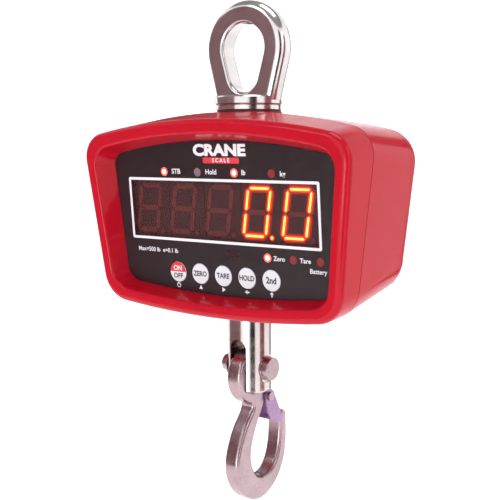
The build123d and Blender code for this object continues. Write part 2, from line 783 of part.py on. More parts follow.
def make_lifting_eye():
    """Forged eye bolt: pear-shaped eye, round collar and the shank into the load cell."""
    with BuildPart() as lifting_eye:
        with BuildSketch(upright(EYE_T / 2)) as profile:
            Circle(EYE_R)
            with Locations((0, EYE_FOOT_Z)):
                Circle(EYE_FOOT_R)
            make_hull()
        extrude(amount=EYE_T)
        fillet(lifting_eye.edges().filter_by(lambda edge: abs(edge.center().Y) > EYE_T / 2 - FIT), EYE_ROUND)
        with BuildSketch(upright(EYE_T / 2)):
            Circle(EYE_HOLE_R)
            with Locations((0, EYE_LOW_Z)):
                Circle(EYE_LOW_R)
            make_hull()
        extrude(amount=EYE_T, mode=Mode.SUBTRACT)
        for hole in (cheek.inner_wires()[0] for cheek in cheeks_of(lifting_eye)):
            fillet(hole.edges(), EYE_HOLE_ROUND)
        foot = COLLAR_TOP - COLLAR_H / 2
        split(bisect_by=level(foot), keep=Keep.TOP)
        base = COLLAR_TOP - COLLAR_H
        with BuildSketch(Plane.XZ) as collar:
            Polygon((0, base), (COLLAR_R, base), (COLLAR_R, COLLAR_TOP), (0, COLLAR_TOP), align=None)
            chamfer(collar.vertices().group_by(Axis.X)[-1], COLLAR_EDGE)
        revolve(axis=Axis.Z)
        with BuildSketch(level(base)):
            Circle(SHANK_R - FIT)
        extrude(amount=CELL_TOP - CELL_THREAD + FIT - base)
    save(lifting_eye, "lifting_eye")


def make_disc(name, top, thick, outer, inner, edge=0.0):
    """Flat ring about the load axis."""
    with BuildPart() as disc:
        with BuildSketch(level(top)):
            Circle(outer)
            Circle(inner, mode=Mode.SUBTRACT)
        extrude(amount=-thick)
        if edge:
            rims = disc.edges().filter_by(GeomType.CIRCLE)
            chamfer(rims.group_by(lambda rim: round(rim.radius, 3))[-1], edge)
    save(disc, name)


def make_load_cell():
    """S-type load cell: block with two opposed slots, a cross bore and end threads."""
    middle = (CELL_TOP + CELL_BOTTOM) / 2
    reach = CELL_W - 2 * CELL_SHIFT
    with BuildPart() as load_cell:
        with BuildSketch(upright(CELL_D / 2)):
            with Locations((0, middle)):
                Rectangle(CELL_W, CELL_H)
        extrude(amount=CELL_D)
        fillet(load_cell.edges().filter_by(Axis.Y), CELL_EDGE)
        with BuildSketch(upright(CELL_D / 2)):
            with Locations((0, middle)):
                Circle(CELL_BORE_R)
            with Locations((-CELL_SHIFT, middle + CELL_BORE_R + CELL_SLOT)):
                Rectangle(reach, CELL_SLOT)
            with Locations((CELL_SHIFT, middle - CELL_BORE_R - CELL_SLOT)):
                Rectangle(reach, CELL_SLOT)
        extrude(amount=CELL_D, mode=Mode.SUBTRACT)
        with BuildSketch(level(CELL_TOP)):
            Circle(SHANK_R)
        extrude(amount=-CELL_THREAD, mode=Mode.SUBTRACT)
        with BuildSketch(level(CELL_BOTTOM)):
            Circle(SHANK_R)
        extrude(amount=CELL_THREAD, mode=Mode.SUBTRACT)
    save(load_cell, "load_cell")


def make_gauge_covers():
    """Thin discs that seal the load cell's cross bore over its strain gauges."""
    with BuildPart() as gauge_covers:
        for y in (CELL_D / 2 + GAUGE_COVER_T, -CELL_D / 2):
            with BuildSketch(upright(y)):
                with Locations((0, (CELL_TOP + CELL_BOTTOM) / 2)):
                    Circle(CELL_BORE_R + GAUGE_COVER_LAP)
            extrude(amount=GAUGE_COVER_T)
    save(gauge_covers, "gauge_covers")


def make_swivel_cup():
    """Swivel housing: a stud into the load cell and a cup for the thrust bearing."""
    with BuildPart() as swivel_cup:
        with BuildSketch(level(CELL_BOTTOM)):
            Circle(CUP_R)
        extrude(amount=-CUP_H)
        with BuildSketch(level(CUP_BOTTOM)):
            Circle(CUP_BORE)
        extrude(amount=CUP_H - CUP_ROOF, mode=Mode.SUBTRACT)
        with BuildSketch(level(CELL_BOTTOM)):
            Circle(SHANK_R - FIT)
        extrude(amount=CELL_THREAD - FIT)
    save(swivel_cup, "swivel_cup")


def make_swivel_cap():
    """Screwed cap that closes the cup and carries the thrust bearing."""
    with BuildPart() as swivel_cap:
        with BuildSketch(level(CAP_BOTTOM)):
            Circle(CUP_R)
        extrude(amount=CAP_FLANGE_T)
        with BuildSketch(level(CUP_BOTTOM)):
            Circle(CUP_BORE - FIT)
        extrude(amount=CAP_PLUG_H)
        with BuildSketch(level(CAP_BOTTOM)):
            Circle(STEM_R + RACE_BORE_CLEAR)
        extrude(amount=CAP_FLANGE_T + CAP_PLUG_H, mode=Mode.SUBTRACT)
    save(swivel_cap, "swivel_cap")


def make_bearing_balls():
    """Balls of the thrust bearing."""
    with BuildPart() as bearing_balls:
        with Locations((0, 0, BALL_Z)):
            with PolarLocations(BALL_CIRCLE, BALL_COUNT):
                Sphere(BALL_R)
    save(bearing_balls, "bearing_balls")


def make_bearing_cage():
    """Flat cage that spaces the balls."""
    with BuildPart() as bearing_cage:
        with BuildSketch(level(BALL_Z - CAGE_T / 2)):
            Circle(BALL_CIRCLE + BALL_R + CAGE_LIP)
            Circle(BALL_CIRCLE - BALL_R - CAGE_LIP, mode=Mode.SUBTRACT)
            with PolarLocations(BALL_CIRCLE, BALL_COUNT):
                Circle(BALL_R + FIT, mode=Mode.SUBTRACT)
        extrude(amount=CAGE_T)
    save(bearing_cage, "bearing_cage")


def make_swivel_nut():
    """Castle nut on the fork's stem."""
    with BuildPart() as swivel_nut:
        with BuildSketch(level(NUT_Z)):
            RegularPolygon(NUT_FLATS / 2, 6, major_radius=False)
            Circle(STEM_R + FIT, mode=Mode.SUBTRACT)
        extrude(amount=NUT_H)
        with BuildSketch(level(NUT_Z + NUT_H)):
            with PolarLocations(0, 3):
                Rectangle(2 * NUT_FLATS, 2 * (SPLIT_PIN_R + SPLIT_PIN_RISE) + 0.2)
        extrude(amount=-NUT_SLOT_H, mode=Mode.SUBTRACT)
    save(swivel_nut, "swivel_nut")


def make_nut_split_pin():
    """Split pin through the stem in a slot of the castle nut."""
    with BuildPart() as nut_split_pin:
        with BuildSketch(Plane.YZ.offset(-NUT_FLATS / 2 - SPLIT_PIN_OUT)):
            with Locations((0, SPLIT_PIN_Z)):
                Circle(SPLIT_PIN_R)
        extrude(amount=NUT_FLATS + 2 * SPLIT_PIN_OUT)
    save(nut_split_pin, "nut_split_pin")


# ---- fork and its pin -----------------------------------------------------
def make_fork():
    """Turned fork: stem, shaft, slot for the hook's eye, pin bore and flats."""
    with BuildPart() as fork:
        with BuildSketch(level(FORK_TOP)):
            Circle(FORK_R)
        extrude(amount=FORK_END - FORK_TOP)
        chamfer(fork.edges().group_by(Axis.Z)[0], FORK_CHAMFER)
        with BuildSketch(level(FORK_TOP)):
            Circle(STEM_R)
        extrude(amount=STEM_TOP - FORK_TOP)
        with BuildSketch(upright(2 * FORK_R)):
            arch = SLOT_TOP - SLOT_W / 2
            with Locations((0, arch)):
                Circle(SLOT_W / 2)
            with Locations((0, arch)):
                Rectangle(SLOT_W, 2 * SLOT_RISE, align=(Align.CENTER, Align.MAX))
        extrude(amount=4 * FORK_R, mode=Mode.SUBTRACT)
        with BuildSketch(Plane.YZ.offset(-2 * FORK_R)):
            with Locations((0, PIN_Z)):
                Circle(PIN_R + FIT)
        extrude(amount=4 * FORK_R, mode=Mode.SUBTRACT)
        for side in (-1, 1):
            with BuildSketch(Plane.YZ.offset(side * FORK_FLAT)):
                with Locations((0, PIN_Z)):
                    Circle(PIN_HEAD_R + FLAT_LAP)
            extrude(amount=side * FORK_R, mode=Mode.SUBTRACT)
        with BuildSketch(Plane.YZ.offset(-2 * FORK_R)):
            with Locations((0, SPLIT_PIN_Z)):
                Circle(SPLIT_PIN_R + FIT)
        extrude(amount=4 * FORK_R, mode=Mode.SUBTRACT)
    save(fork, "fork")


def make_hook_pin():
    """Clevis pin with a round head and a grooved tail."""
    head = FORK_FLAT + PIN_WASHER_T
    tail = -FORK_FLAT - PIN_WASHER_T - PIN_TAIL
    with BuildPart() as hook_pin:
        with BuildSketch(Plane.YZ.offset(tail)):
            with Locations((0, PIN_Z)):
                Circle(PIN_R)
        extrude(amount=head - tail)
        chamfer(hook_pin.faces().sort_by(Axis.X)[0].edges(), PIN_TAIL_EDGE)
        with BuildSketch(Plane.YZ.offset(head)):
            with Locations((0, PIN_Z)):
                Circle(PIN_HEAD_R)
        extrude(amount=PIN_HEAD_T)
        fillet(hook_pin.faces().sort_by(Axis.X)[-1].edges(), PIN_HEAD_ROUND)
        with BuildSketch(Plane.YZ.offset(TAIL_RING_X)):
            with Locations((0, PIN_Z)):
                Circle(PIN_R + TAIL_RING_LAP)
                Circle(PIN_R - GROOVE_DEPTH, mode=Mode.SUBTRACT)
        extrude(amount=TAIL_RING_T + 2 * FIT, mode=Mode.SUBTRACT)
    save(hook_pin, "hook_pin")


def make_pin_washers():
    """Washers under the pin's head and behind its retaining ring."""
    with BuildPart() as pin_washers:
        for start in (FORK_FLAT, -FORK_FLAT - PIN_WASHER_T):
            with BuildSketch(Plane.YZ.offset(start)):
                with Locations((0, PIN_Z)):
                    Circle(PIN_HEAD_R + PIN_WASHER_LAP)
                    Circle(PIN_R + FIT, mode=Mode.SUBTRACT)
            extrude(amount=PIN_WASHER_T)
    save(pin_washers, "pin_washers")


def make_pin_ring():
    """Retaining ring in the pin's groove."""
    with BuildPart() as pin_ring:
        with BuildSketch(Plane.YZ.offset(TAIL_RING_X + FIT)):
            with Locations((0, PIN_Z)):
                Circle(PIN_R + TAIL_RING_LAP)
                Circle(PIN_R - GROOVE_DEPTH + FIT, mode=Mode.SUBTRACT)
            with Locations((0, PIN_Z - PIN_R)):
                Rectangle(3.0, 4.0, mode=Mode.SUBTRACT)
        extrude(amount=TAIL_RING_T)
    save(pin_ring, "pin_ring")


# ---- hook and latch -------------------------------------------------------
# outlines of the hook in the YZ plane, heights from the pin's axis
HOOK_BACK = [
    (-2.8, -20.0),
    (-3.7, -26.0),
    (-9.4, -33.2),
    (-17.2, -46.0),
    (-20.5, -59.5),
    (-13.6, -76.2),
    (3.5, -85.3),
    (22.0, -78.0),
    (31.4, -63.0),
    (33.2, -47.0),
    (32.6, -37.6),
]
HOOK_TIP = (29.0, -33.6)
INSIDE_EYE_RING = (8.0, -16.5)
HOOK_THROAT = [
    (25.4, -38.5),
    (24.4, -54.5),
    (17.4, -68.0),
    (8.4, -71.4),
    (-2.0, -65.6),
    (-5.4, -55.0),
    (-2.6, -43.6),
    (3.2, -32.8),
    (10.8, -22.2),
]


def from_pin(points):
    """Points given from the pin's axis, as heights in the model."""
    return [(y, PIN_Z + z) for y, z in points]


def make_hook():
    """Forged eye hook in the YZ plane, opening to the rear, with a lug for the latch."""
    with BuildPart() as hook:
        with BuildSketch(Plane.YZ.offset(-HOOK_T / 2)) as profile:
            with BuildLine():
                back = Spline(from_pin(HOOK_BACK))
                throat = Spline(from_pin(HOOK_THROAT))
                tip, inside = from_pin([HOOK_TIP, INSIDE_EYE_RING])
                ThreePointArc(back @ 1, tip, throat @ 0)
                Polyline(throat @ 1, inside, back @ 0)
            make_face()
            with Locations((0, HOOK_EYE_Z)):
                Circle(HOOK_EYE_R)
            with Locations((LATCH_PIN_Y, LATCH_PIN_Z)):
                Circle(LUG_R)
            joins = profile.vertices().filter_by(lambda corner: corner.Y > LATCH_PIN_Z - 2 * LUG_R)
            fillet(joins.sort_by(Axis.X)[0], WAIST_R)
            fillet(profile.vertices().sort_by_distance((HOOK_EYE_R, HOOK_EYE_Z))[0], LUG_BLEND_R)
            fillet(profile.vertices().sort_by_distance((LATCH_PIN_Y, LATCH_PIN_Z - LUG_R))[0], LUG_BLEND_R)
            with Locations((0, HOOK_EYE_Z)):
                Circle(HOOK_EYE_HOLE_R, mode=Mode.SUBTRACT)
        extrude(amount=HOOK_T)
        rims = hook.edges().filter_by(lambda edge: abs(edge.center().X) > HOOK_T / 2 - FIT)
        fillet(rims, HOOK_ROUND)
        with BuildSketch(Plane.YZ.offset(-HOOK_T)):
            with Locations((LATCH_PIN_Y, LATCH_PIN_Z)):
                Circle(LATCH_PIN_R + FIT)
        extrude(amount=2 * HOOK_T, mode=Mode.SUBTRACT)
        with BuildSketch(Plane.YZ.offset(LUG_WEB)):
            with Locations((LATCH_PIN_Y, LATCH_PIN_Z)):
                Circle(LATCH_EAR_R)
        extrude(amount=HOOK_T, mode=Mode.SUBTRACT)
    save(hook, "hook")


def make_latch_pin():
    """Rivet that the latch turns on."""
    reach = HOOK_T / 2 + LATCH_CLEAR + LATCH_SHEET + RIVET_PLAY
    with BuildPart() as latch_pin:
        with BuildSketch(Plane.YZ.offset(-reach)):
            with Locations((LATCH_PIN_Y, LATCH_PIN_Z)):
                Circle(LATCH_PIN_R)
        extrude(amount=2 * reach)
        for side in (-1, 1):
            with BuildSketch(Plane.YZ.offset(side * reach)):
                with Locations((LATCH_PIN_Y, LATCH_PIN_Z)):
                    Circle(RIVET_HEAD_R)
            extrude(amount=side * RIVET_HEAD_T)
    save(latch_pin, "latch_pin")


def make_latch():
    """Sheet-metal safety latch: two flanges over the hook's cheeks and an outer web."""
    inner = HOOK_T / 2 + LATCH_CLEAR
    outline = [(3.8, 2.2), (13.3, -15.6), (12.9, -19.6), (1.4, -15.4), (-4.3, -0.9)]
    web = [(6.0, -1.9), (13.3, -15.6), (12.9, -19.6), (11.7, -19.2), (12.05, -15.9), (4.9, -2.5)]
    place = [(LATCH_PIN_Y + y, LATCH_PIN_Z + z) for y, z in outline]
    web_place = [(LATCH_PIN_Y + y, LATCH_PIN_Z + z) for y, z in web]
    with BuildPart() as latch:
        for start in (inner, -inner - LATCH_SHEET):
            with BuildSketch(Plane.YZ.offset(start)):
                Polygon(*place, align=None)
                with Locations((LATCH_PIN_Y, LATCH_PIN_Z)):
                    Circle(LATCH_EAR_R)
                    Circle(LATCH_PIN_R + FIT, mode=Mode.SUBTRACT)
            extrude(amount=LATCH_SHEET)
        with BuildSketch(Plane.YZ.offset(-inner - LATCH_SHEET)):
            Polygon(*web_place, align=None)
        extrude(amount=2 * (inner + LATCH_SHEET))
    save(latch, "latch")


def make_latch_spring():
    """Small coil round the rivet that keeps the latch shut."""
    start = LUG_WEB + SPRING_GAP
    room = HOOK_T / 2 + LATCH_CLEAR - start - SPRING_GAP
    centre = Plane(origin=(start, LATCH_PIN_Y, LATCH_PIN_Z), x_dir=(0, 1, 0), z_dir=(1, 0, 0))
    with BuildPart() as latch_spring:
        with BuildLine(centre) as path:
            Helix(pitch=room / SPRING_TURNS, height=room, radius=SPRING_R)
        with BuildSketch(Plane(origin=path.line @ 0, z_dir=path.line % 0)):
            Circle(SPRING_WIRE_R)
        sweep()
    save(latch_spring, "latch_spring")


# ---- power and rear -------------------------------------------------------
def make_battery():
    """Rechargeable battery pack behind the load cell."""
    rear = REAR_Y - WALL - BATTERY_CLEAR
    with BuildPart() as battery:
        with BuildSketch(upright(rear)):
            with Locations((0, BATTERY_Z)):
                RectangleRounded(BATTERY_W, BATTERY_H, 2.0)
        extrude(amount=BATTERY_D)
    save(battery, "battery")


def make_battery_cover():
    """Flush cover over the battery opening."""
    with BuildPart() as battery_cover:
        with BuildSketch(upright(REAR_Y)):
            with Locations((0, BATTERY_Z)):
                Rectangle(COVER_W + 2 * COVER_FLANGE - 2 * COVER_GAP, COVER_H - 2 * COVER_GAP)
        extrude(amount=COVER_T)
        with BuildSketch(upright(REAR_Y - COVER_T)):
            with Locations((0, BATTERY_Z)):
                Rectangle(COVER_W - 2 * COVER_GAP, COVER_H - 2 * COVER_GAP)
        extrude(amount=WALL - COVER_T)
        with BuildSketch(upright(REAR_Y)):
            with Locations(*COVER_SCREWS):
                Circle(SMALL_R + SCREW_CLEAR)
        extrude(amount=COVER_T, mode=Mode.SUBTRACT)
    save(battery_cover, "battery_cover")


def make_cover_screws():
    """Pan-head screws of the battery cover."""
    with BuildPart() as cover_screws:
        with BuildSketch(upright(REAR_Y)):
            with Locations(*COVER_SCREWS):
                Circle(SMALL_HEAD_R)
        extrude(amount=-SMALL_HEAD_H)
        with BuildSketch(upright(REAR_Y)):
            with Locations(*COVER_SCREWS):
                Circle(SMALL_R)
        extrude(amount=WALL + COVER_BOSS_L - SCREW_END_GAP)
        with BuildSketch(upright(REAR_Y + SMALL_HEAD_H)):
            with Locations(*COVER_SCREWS):
                Rectangle(3.0, 0.6)
                Rectangle(0.6, 3.0)
        extrude(amount=0.9, mode=Mode.SUBTRACT)
    save(cover_screws, "cover_screws")


def make_charger_jack():
    """Round charging socket through the rear wall."""
    with BuildPart() as charger_jack:
        with BuildSketch(upright(REAR_Y + JACK_LIP)):
            with Locations(JACK_PLACE):
                Circle(JACK_R)
                Circle(JACK_R - JACK_WALL, mode=Mode.SUBTRACT)
        extrude(amount=JACK_LIP + JACK_BORE + JACK_BODY / 2)
        with BuildSketch(upright(REAR_Y - JACK_BORE)):
            with Locations(JACK_PLACE):
                Circle(JACK_R)
        extrude(amount=JACK_BODY)
        with BuildSketch(upright(REAR_Y - JACK_BORE - JACK_CONTACT_R)):
            with Locations(JACK_PLACE):
                Circle(JACK_CONTACT_R)
        extrude(amount=-JACK_CONTACT_R - JACK_CONTACT_L + 2.0)
        with BuildSketch(upright(REAR_Y - WALL)):
            with Locations(JACK_PLACE):
                Circle(JACK_NUT_R)
                Circle(JACK_R - JACK_WALL / 2, mode=Mode.SUBTRACT)
        extrude(amount=JACK_COLLAR_T)
    save(charger_jack, "charger_jack")


def make_jack_nut():
    """Thin nut that holds the charging socket from outside."""
    with BuildPart() as jack_nut:
        with BuildSketch(upright(REAR_Y)):
            with Locations(JACK_PLACE):
                RegularPolygon(JACK_NUT_R, 6, major_radius=False)
                Circle(JACK_R + FIT, mode=Mode.SUBTRACT)
        extrude(amount=-JACK_NUT_T)
    save(jack_nut, "jack_nut")


def make_data_label():
    """Blank data plate on the rear wall."""
    with BuildPart() as data_label:
        with BuildSketch(upright(REAR_Y)):
            with Locations((0, BATTERY_Z + COVER_H / 2 + LABEL_GAP + LABEL_H / 2)):
                RectangleRounded(LABEL_W, LABEL_H, 1.5)
        extrude(amount=-LABEL_T)
    save(data_label, "data_label")


def make_control_board():
    """Weighing and power board beside the load cell."""
    with BuildPart() as control_board:
        with BuildSketch(upright(CONTROL_Y)):
            with Locations((CONTROL_X, CONTROL_Z)):
                RectangleRounded(CONTROL_W, CONTROL_H, 2.0)
            with Locations(*CONTROL_POSTS):
                Circle(SMALL_R + SCREW_CLEAR, mode=Mode.SUBTRACT)
        extrude(amount=BOARD_T)
        with BuildSketch(upright(CONTROL_Y - BOARD_T)):
            with Locations((CONTROL_X - 4, CONTROL_Z + 8)):
                Rectangle(14.0, 14.0)
            with Locations((CONTROL_X + 14, CONTROL_Z - 8)):
                Rectangle(8.0, 8.0)
            with Locations((CONTROL_X - 8, CONTROL_Z - 14)):
                Circle(4.0)
        extrude(amount=CHIP_H)
    save(control_board, "control_board")


def make_control_posts():
    """Snap-in spacers between the rear wall and the control board."""
    with BuildPart() as control_posts:
        with BuildSketch(upright(REAR_Y - WALL)):
            with Locations(*CONTROL_POSTS):
                Circle(POST_R)
        extrude(amount=REAR_Y - WALL - CONTROL_Y)
        with BuildSketch(upright(CONTROL_Y)):
            with Locations(*CONTROL_POSTS):
                Circle(SMALL_R)
        extrude(amount=BOARD_T)
        with BuildSketch(upright(CONTROL_Y - BOARD_T)):
            with Locations(*CONTROL_POSTS):
                Circle(POST_R)
        extrude(amount=SNAP_HEAD_H)
    save(control_posts, "control_posts")


def make_buzzer():
    """Round sounder on the control board."""
    with BuildPart() as buzzer:
        with BuildSketch(upright(CONTROL_Y - BOARD_T)):
            with Locations((CONTROL_X + 12, CONTROL_Z + 14)):
                Circle(BUZZER_R)
        extrude(amount=BUZZER_H)
    save(buzzer, "buzzer")


def make_all():
    """Build every piece."""
    make_front_frame()
    make_seam_gasket()
    make_rear_housing()
    make_housing_screws()
    make_front_panel()
    make_window_lens()
    make_receiver()
    make_lamps("lamps_lit", LIT_LEDS)
    make_lamps("lamps_dark", DARK_LEDS)
    make_lamps("lamp_hold", HOLD_LED)
    make_digit_modules()
    make_segments("segments_lit", ["", "", "", "abcdef", "abcdef"], [3])
    make_segments("segments_dark", ["abcdefg", "abcdefg", "abcdefg", "g", "g"], [0, 1, 2, 4])
    make_display_board()
    make_board_posts()
    make_board_screws()
    make_keys()
    make_key_board()
    make_key_posts()
    make_key_switches()
    make_lifting_eye()
    make_disc("eye_ring", COLLAR_TOP - COLLAR_H, RING_H, RING_R, SHANK_R + FIT, RING_EDGE)
    make_disc("top_gasket", HOUSING_TOP + TOP_GASKET_T, TOP_GASKET_T, RING_R - GASKET_INSET, SHANK_R + FIT)
    make_disc("clamp_washer", PAD_BOTTOM, CLAMP_WASHER_T, CLAMP_WASHER_R, SHANK_R + FIT)
    make_load_cell()
    make_gauge_covers()
    make_swivel_cup()
    make_swivel_cap()
    make_disc("lower_race", LOWER_RACE_Z + RACE_T, RACE_T, RACE_R, STEM_R + RACE_BORE_CLEAR)
    make_bearing_balls()
    make_bearing_cage()
    make_disc("upper_race", UPPER_RACE_Z + RACE_T, RACE_T, RACE_R, STEM_R + FIT)
    make_swivel_nut()
    make_nut_split_pin()
    make_fork()
    make_hook_pin()
    make_pin_washers()
    make_pin_ring()
    make_hook()
    make_latch_pin()
    make_latch()
    make_latch_spring()
    make_battery()
    make_battery_cover()
    make_cover_screws()
    make_charger_jack()
    make_jack_nut()
    make_data_label()
    make_control_board()
    make_control_posts()
    make_buzzer()


make_all()
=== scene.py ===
"""Looks of a hanging crane scale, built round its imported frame.

The frame holds every working piece. This script dresses each piece in its finish, prints
the legends on the display panel and the keys, and sets the piece in a plain studio.
"""

import logging
import math
from dataclasses import dataclass, field
from enum import Enum
from typing import Iterable, Sequence

import bmesh
import bpy
from mathutils import Matrix, Vector

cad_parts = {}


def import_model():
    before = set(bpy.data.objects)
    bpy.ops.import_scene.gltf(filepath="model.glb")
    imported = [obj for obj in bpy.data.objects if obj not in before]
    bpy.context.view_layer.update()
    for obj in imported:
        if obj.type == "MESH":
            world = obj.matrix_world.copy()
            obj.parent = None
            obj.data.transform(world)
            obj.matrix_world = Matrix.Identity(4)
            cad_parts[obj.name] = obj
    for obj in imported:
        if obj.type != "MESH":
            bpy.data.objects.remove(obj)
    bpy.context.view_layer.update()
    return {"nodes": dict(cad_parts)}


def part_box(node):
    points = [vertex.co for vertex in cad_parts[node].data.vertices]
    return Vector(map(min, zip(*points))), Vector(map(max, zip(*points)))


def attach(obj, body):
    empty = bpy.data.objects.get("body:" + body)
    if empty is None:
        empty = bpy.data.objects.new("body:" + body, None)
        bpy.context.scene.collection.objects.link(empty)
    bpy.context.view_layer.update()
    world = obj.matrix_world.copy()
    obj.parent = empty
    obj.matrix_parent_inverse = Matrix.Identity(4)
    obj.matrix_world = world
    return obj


LOG = logging.getLogger("crane_scale")

MM = 0.001
BAND_LOW, BAND_HIGH = 0.3, 0.7  # range of a node's values that a ramp or a tint spreads out
PRINT_LIFT = 0.02  # print in front of the panel's surface, in millimetres
OVERPRINT_LIFT = 0.055  # print that lies on other print

Colour = tuple[float, float, float]
Point = tuple[float, float]


# ---- finishes ---------------------------------------------------------------
class Grain(Enum):
    """How the small surface detail of a finish runs."""

    EVEN = (1.0, 1.0, 1.0)
    UPRIGHT = (1.0, 1.0, 0.06)
    LEVEL = (0.06, 1.0, 1.0)


class NodeBench:
    """Small helper that adds and joins the nodes of one material."""

    def __init__(self, name: str) -> None:
        """Start a node material with its surface shader and output.

        Args:
            name: the material's name.
        """
        self.material = bpy.data.materials.new(name)
        self.material.use_nodes = True
        self.tree = self.material.node_tree
        self.shader = self.tree.nodes["Principled BSDF"]
        self.place = self.add("ShaderNodeTexCoord").outputs["Object"]

    def add(self, kind: str, **settings: object) -> bpy.types.Node:
        """Add a node and set its plain properties.

        Args:
            kind: the node's type name.
            settings: property names and their values.

        Returns:
            The new node.
        """
        node = self.tree.nodes.new(kind)
        for key, value in settings.items():
            setattr(node, key, value)
        return node

    def join(self, source: bpy.types.NodeSocket, target: bpy.types.NodeSocket) -> None:
        """Link two sockets."""
        self.tree.links.new(source, target)

    def noise(
        self, scale: float, detail: float, grain: Grain = Grain.EVEN
    ) -> bpy.types.NodeSocket:
        """Noise over the surface, stretched along the grain.

        Args:
            scale: features per metre.
            detail: how many finer layers it has.
            grain: which way it runs.

        Returns:
            The noise value's socket.
        """
        stretch = self.add("ShaderNodeMapping")
        stretch.inputs["Scale"].default_value = grain.value
        self.join(self.place, stretch.inputs["Vector"])
        noise = self.add("ShaderNodeTexNoise")
        noise.inputs["Scale"].default_value = scale
        noise.inputs["Detail"].default_value = detail
        self.join(stretch.outputs["Vector"], noise.inputs["Vector"])
        return noise.outputs["Fac"]

    def ramp(self, value: bpy.types.NodeSocket, low: float, high: float) -> bpy.types.NodeSocket:
        """Turn a value between 0 and 1 into a number between low and high.

        Args:
            value: the socket that drives it.
            low: result at the band's low end.
            high: result at the band's high end.

        Returns:
            The result's socket.
        """
        span = self.add("ShaderNodeMapRange")
        span.inputs["From Min"].default_value = BAND_LOW
        span.inputs["From Max"].default_value = BAND_HIGH
        span.inputs["To Min"].default_value = low
        span.inputs["To Max"].default_value = high
        self.join(value, span.inputs["Value"])
        return span.outputs["Result"]

    def tint(
        self, value: bpy.types.NodeSocket, dark: Colour, light: Colour
    ) -> bpy.types.NodeSocket:
        """Blend two colours by a value.

        Args:
            value: the socket that drives it.
            dark: colour at the band's low end.
            light: colour at the band's high end.

        Returns:
            The colour's socket.
        """
        band = self.add("ShaderNodeValToRGB")
        band.color_ramp.elements[0].position = BAND_LOW
        band.color_ramp.elements[0].color = (*dark, 1.0)
        band.color_ramp.elements[1].position = BAND_HIGH
        band.color_ramp.elements[1].color = (*light, 1.0)
        self.join(value, band.inputs["Fac"])
        return band.outputs["Color"]

    def bump(self, value: bpy.types.NodeSocket, height: float, strength: float) -> None:
        """Feed a value into the surface as relief.

        Args:
            value: the height's socket.
            height: depth of the relief in metres.
            strength: how strongly it shows.
        """
        relief = self.add("ShaderNodeBump")
        relief.inputs["Strength"].default_value = strength
        relief.inputs["Distance"].default_value = height
        self.join(value, relief.inputs["Height"])
        self.join(relief.outputs["Normal"], self.shader.inputs["Normal"])

    def set(self, socket: str, value: object) -> None:
        """Set a plain value on the surface shader."""
        self.shader.inputs[socket].default_value = value

    def feed(self, value: bpy.types.NodeSocket, socket: str) -> None:
        """Link a socket into the surface shader."""
        self.join(value, self.shader.inputs[socket])


def shade(colour: Colour, factor: float) -> Colour:
    """A colour made darker or lighter.

    Args:
        colour: the colour.
        factor: what each channel is multiplied by.

    Returns:
        The new colour, no channel over 1.
    """
    return tuple(min(1.0, channel * factor) for channel in colour)


@dataclass(frozen=True)
class Paint:
    """Gloss paint on a casting: clear top coat, fine orange peel and slight unevenness.

    Attributes:
        name: the material's name.
        colour: the paint's colour.
        roughness: middle roughness under the top coat.
        sheen: specular level under the top coat.
        coat: weight of the top coat.
        coat_roughness: its roughness.
        peel: features of the orange peel per metre.
        peel_depth: depth of the orange peel in metres.
        cloud: features per metre of the change in colour.
        smear: features per metre of the change in roughness.
        smear_range: how far the roughness goes either way.
    """

    name: str
    colour: Colour
    roughness: float = 0.34
    sheen: float = 0.06
    coat: float = 0.32
    coat_roughness: float = 0.06
    peel: float = 260.0
    peel_depth: float = 0.00003
    cloud: float = 24.0
    smear: float = 60.0
    smear_range: float = 0.03

    def make(self) -> bpy.types.Material:
        """Build the material."""
        bench = NodeBench(self.name)
        cloud = bench.noise(self.cloud, detail=2.0)
        dark, light = shade(self.colour, 0.96), shade(self.colour, 1.03)
        bench.feed(bench.tint(cloud, dark, light), "Base Color")
        smear = bench.noise(self.smear, detail=2.0)
        dull = bench.ramp(smear, self.roughness - self.smear_range, self.roughness + self.smear_range)
        bench.feed(dull, "Roughness")
        bench.set("Specular IOR Level", self.sheen)
        bench.set("Coat Weight", self.coat)
        bench.set("Coat Roughness", self.coat_roughness)
        bench.bump(bench.noise(self.peel, detail=1.0), self.peel_depth, strength=0.12)
        return bench.material


@dataclass(frozen=True)
class Plated:
    """Bright plated or turned metal with faint handling marks.

    Attributes:
        name: the material's name.
        colour: the metal's colour.
        roughness: lowest roughness.
        spread: how much rougher the worn places are.
        marks: features of the marks per metre.
        depth: depth of the marks in metres.
        grain: which way the marks and the wear run.
        cloud: features per metre of the change in colour.
        wear_share: features of the wear against those of the marks.
    """

    name: str
    colour: Colour
    roughness: float = 0.10
    spread: float = 0.10
    marks: float = 700.0
    depth: float = 0.00003
    grain: Grain = Grain.EVEN
    cloud: float = 55.0
    wear_share: float = 0.3

    def make(self) -> bpy.types.Material:
        """Build the material."""
        bench = NodeBench(self.name)
        bench.set("Metallic", 1.0)
        cloud = bench.noise(self.cloud, detail=4.0)
        dark, light = shade(self.colour, 0.90), shade(self.colour, 1.06)
        bench.feed(bench.tint(cloud, dark, light), "Base Color")
        wear = bench.noise(self.marks * self.wear_share, detail=6.0, grain=self.grain)
        bench.feed(bench.ramp(wear, self.roughness, self.roughness + self.spread), "Roughness")
        marks = bench.noise(self.marks, detail=3.0, grain=self.grain)
        bench.bump(marks, self.depth, strength=0.25)
        return bench.material


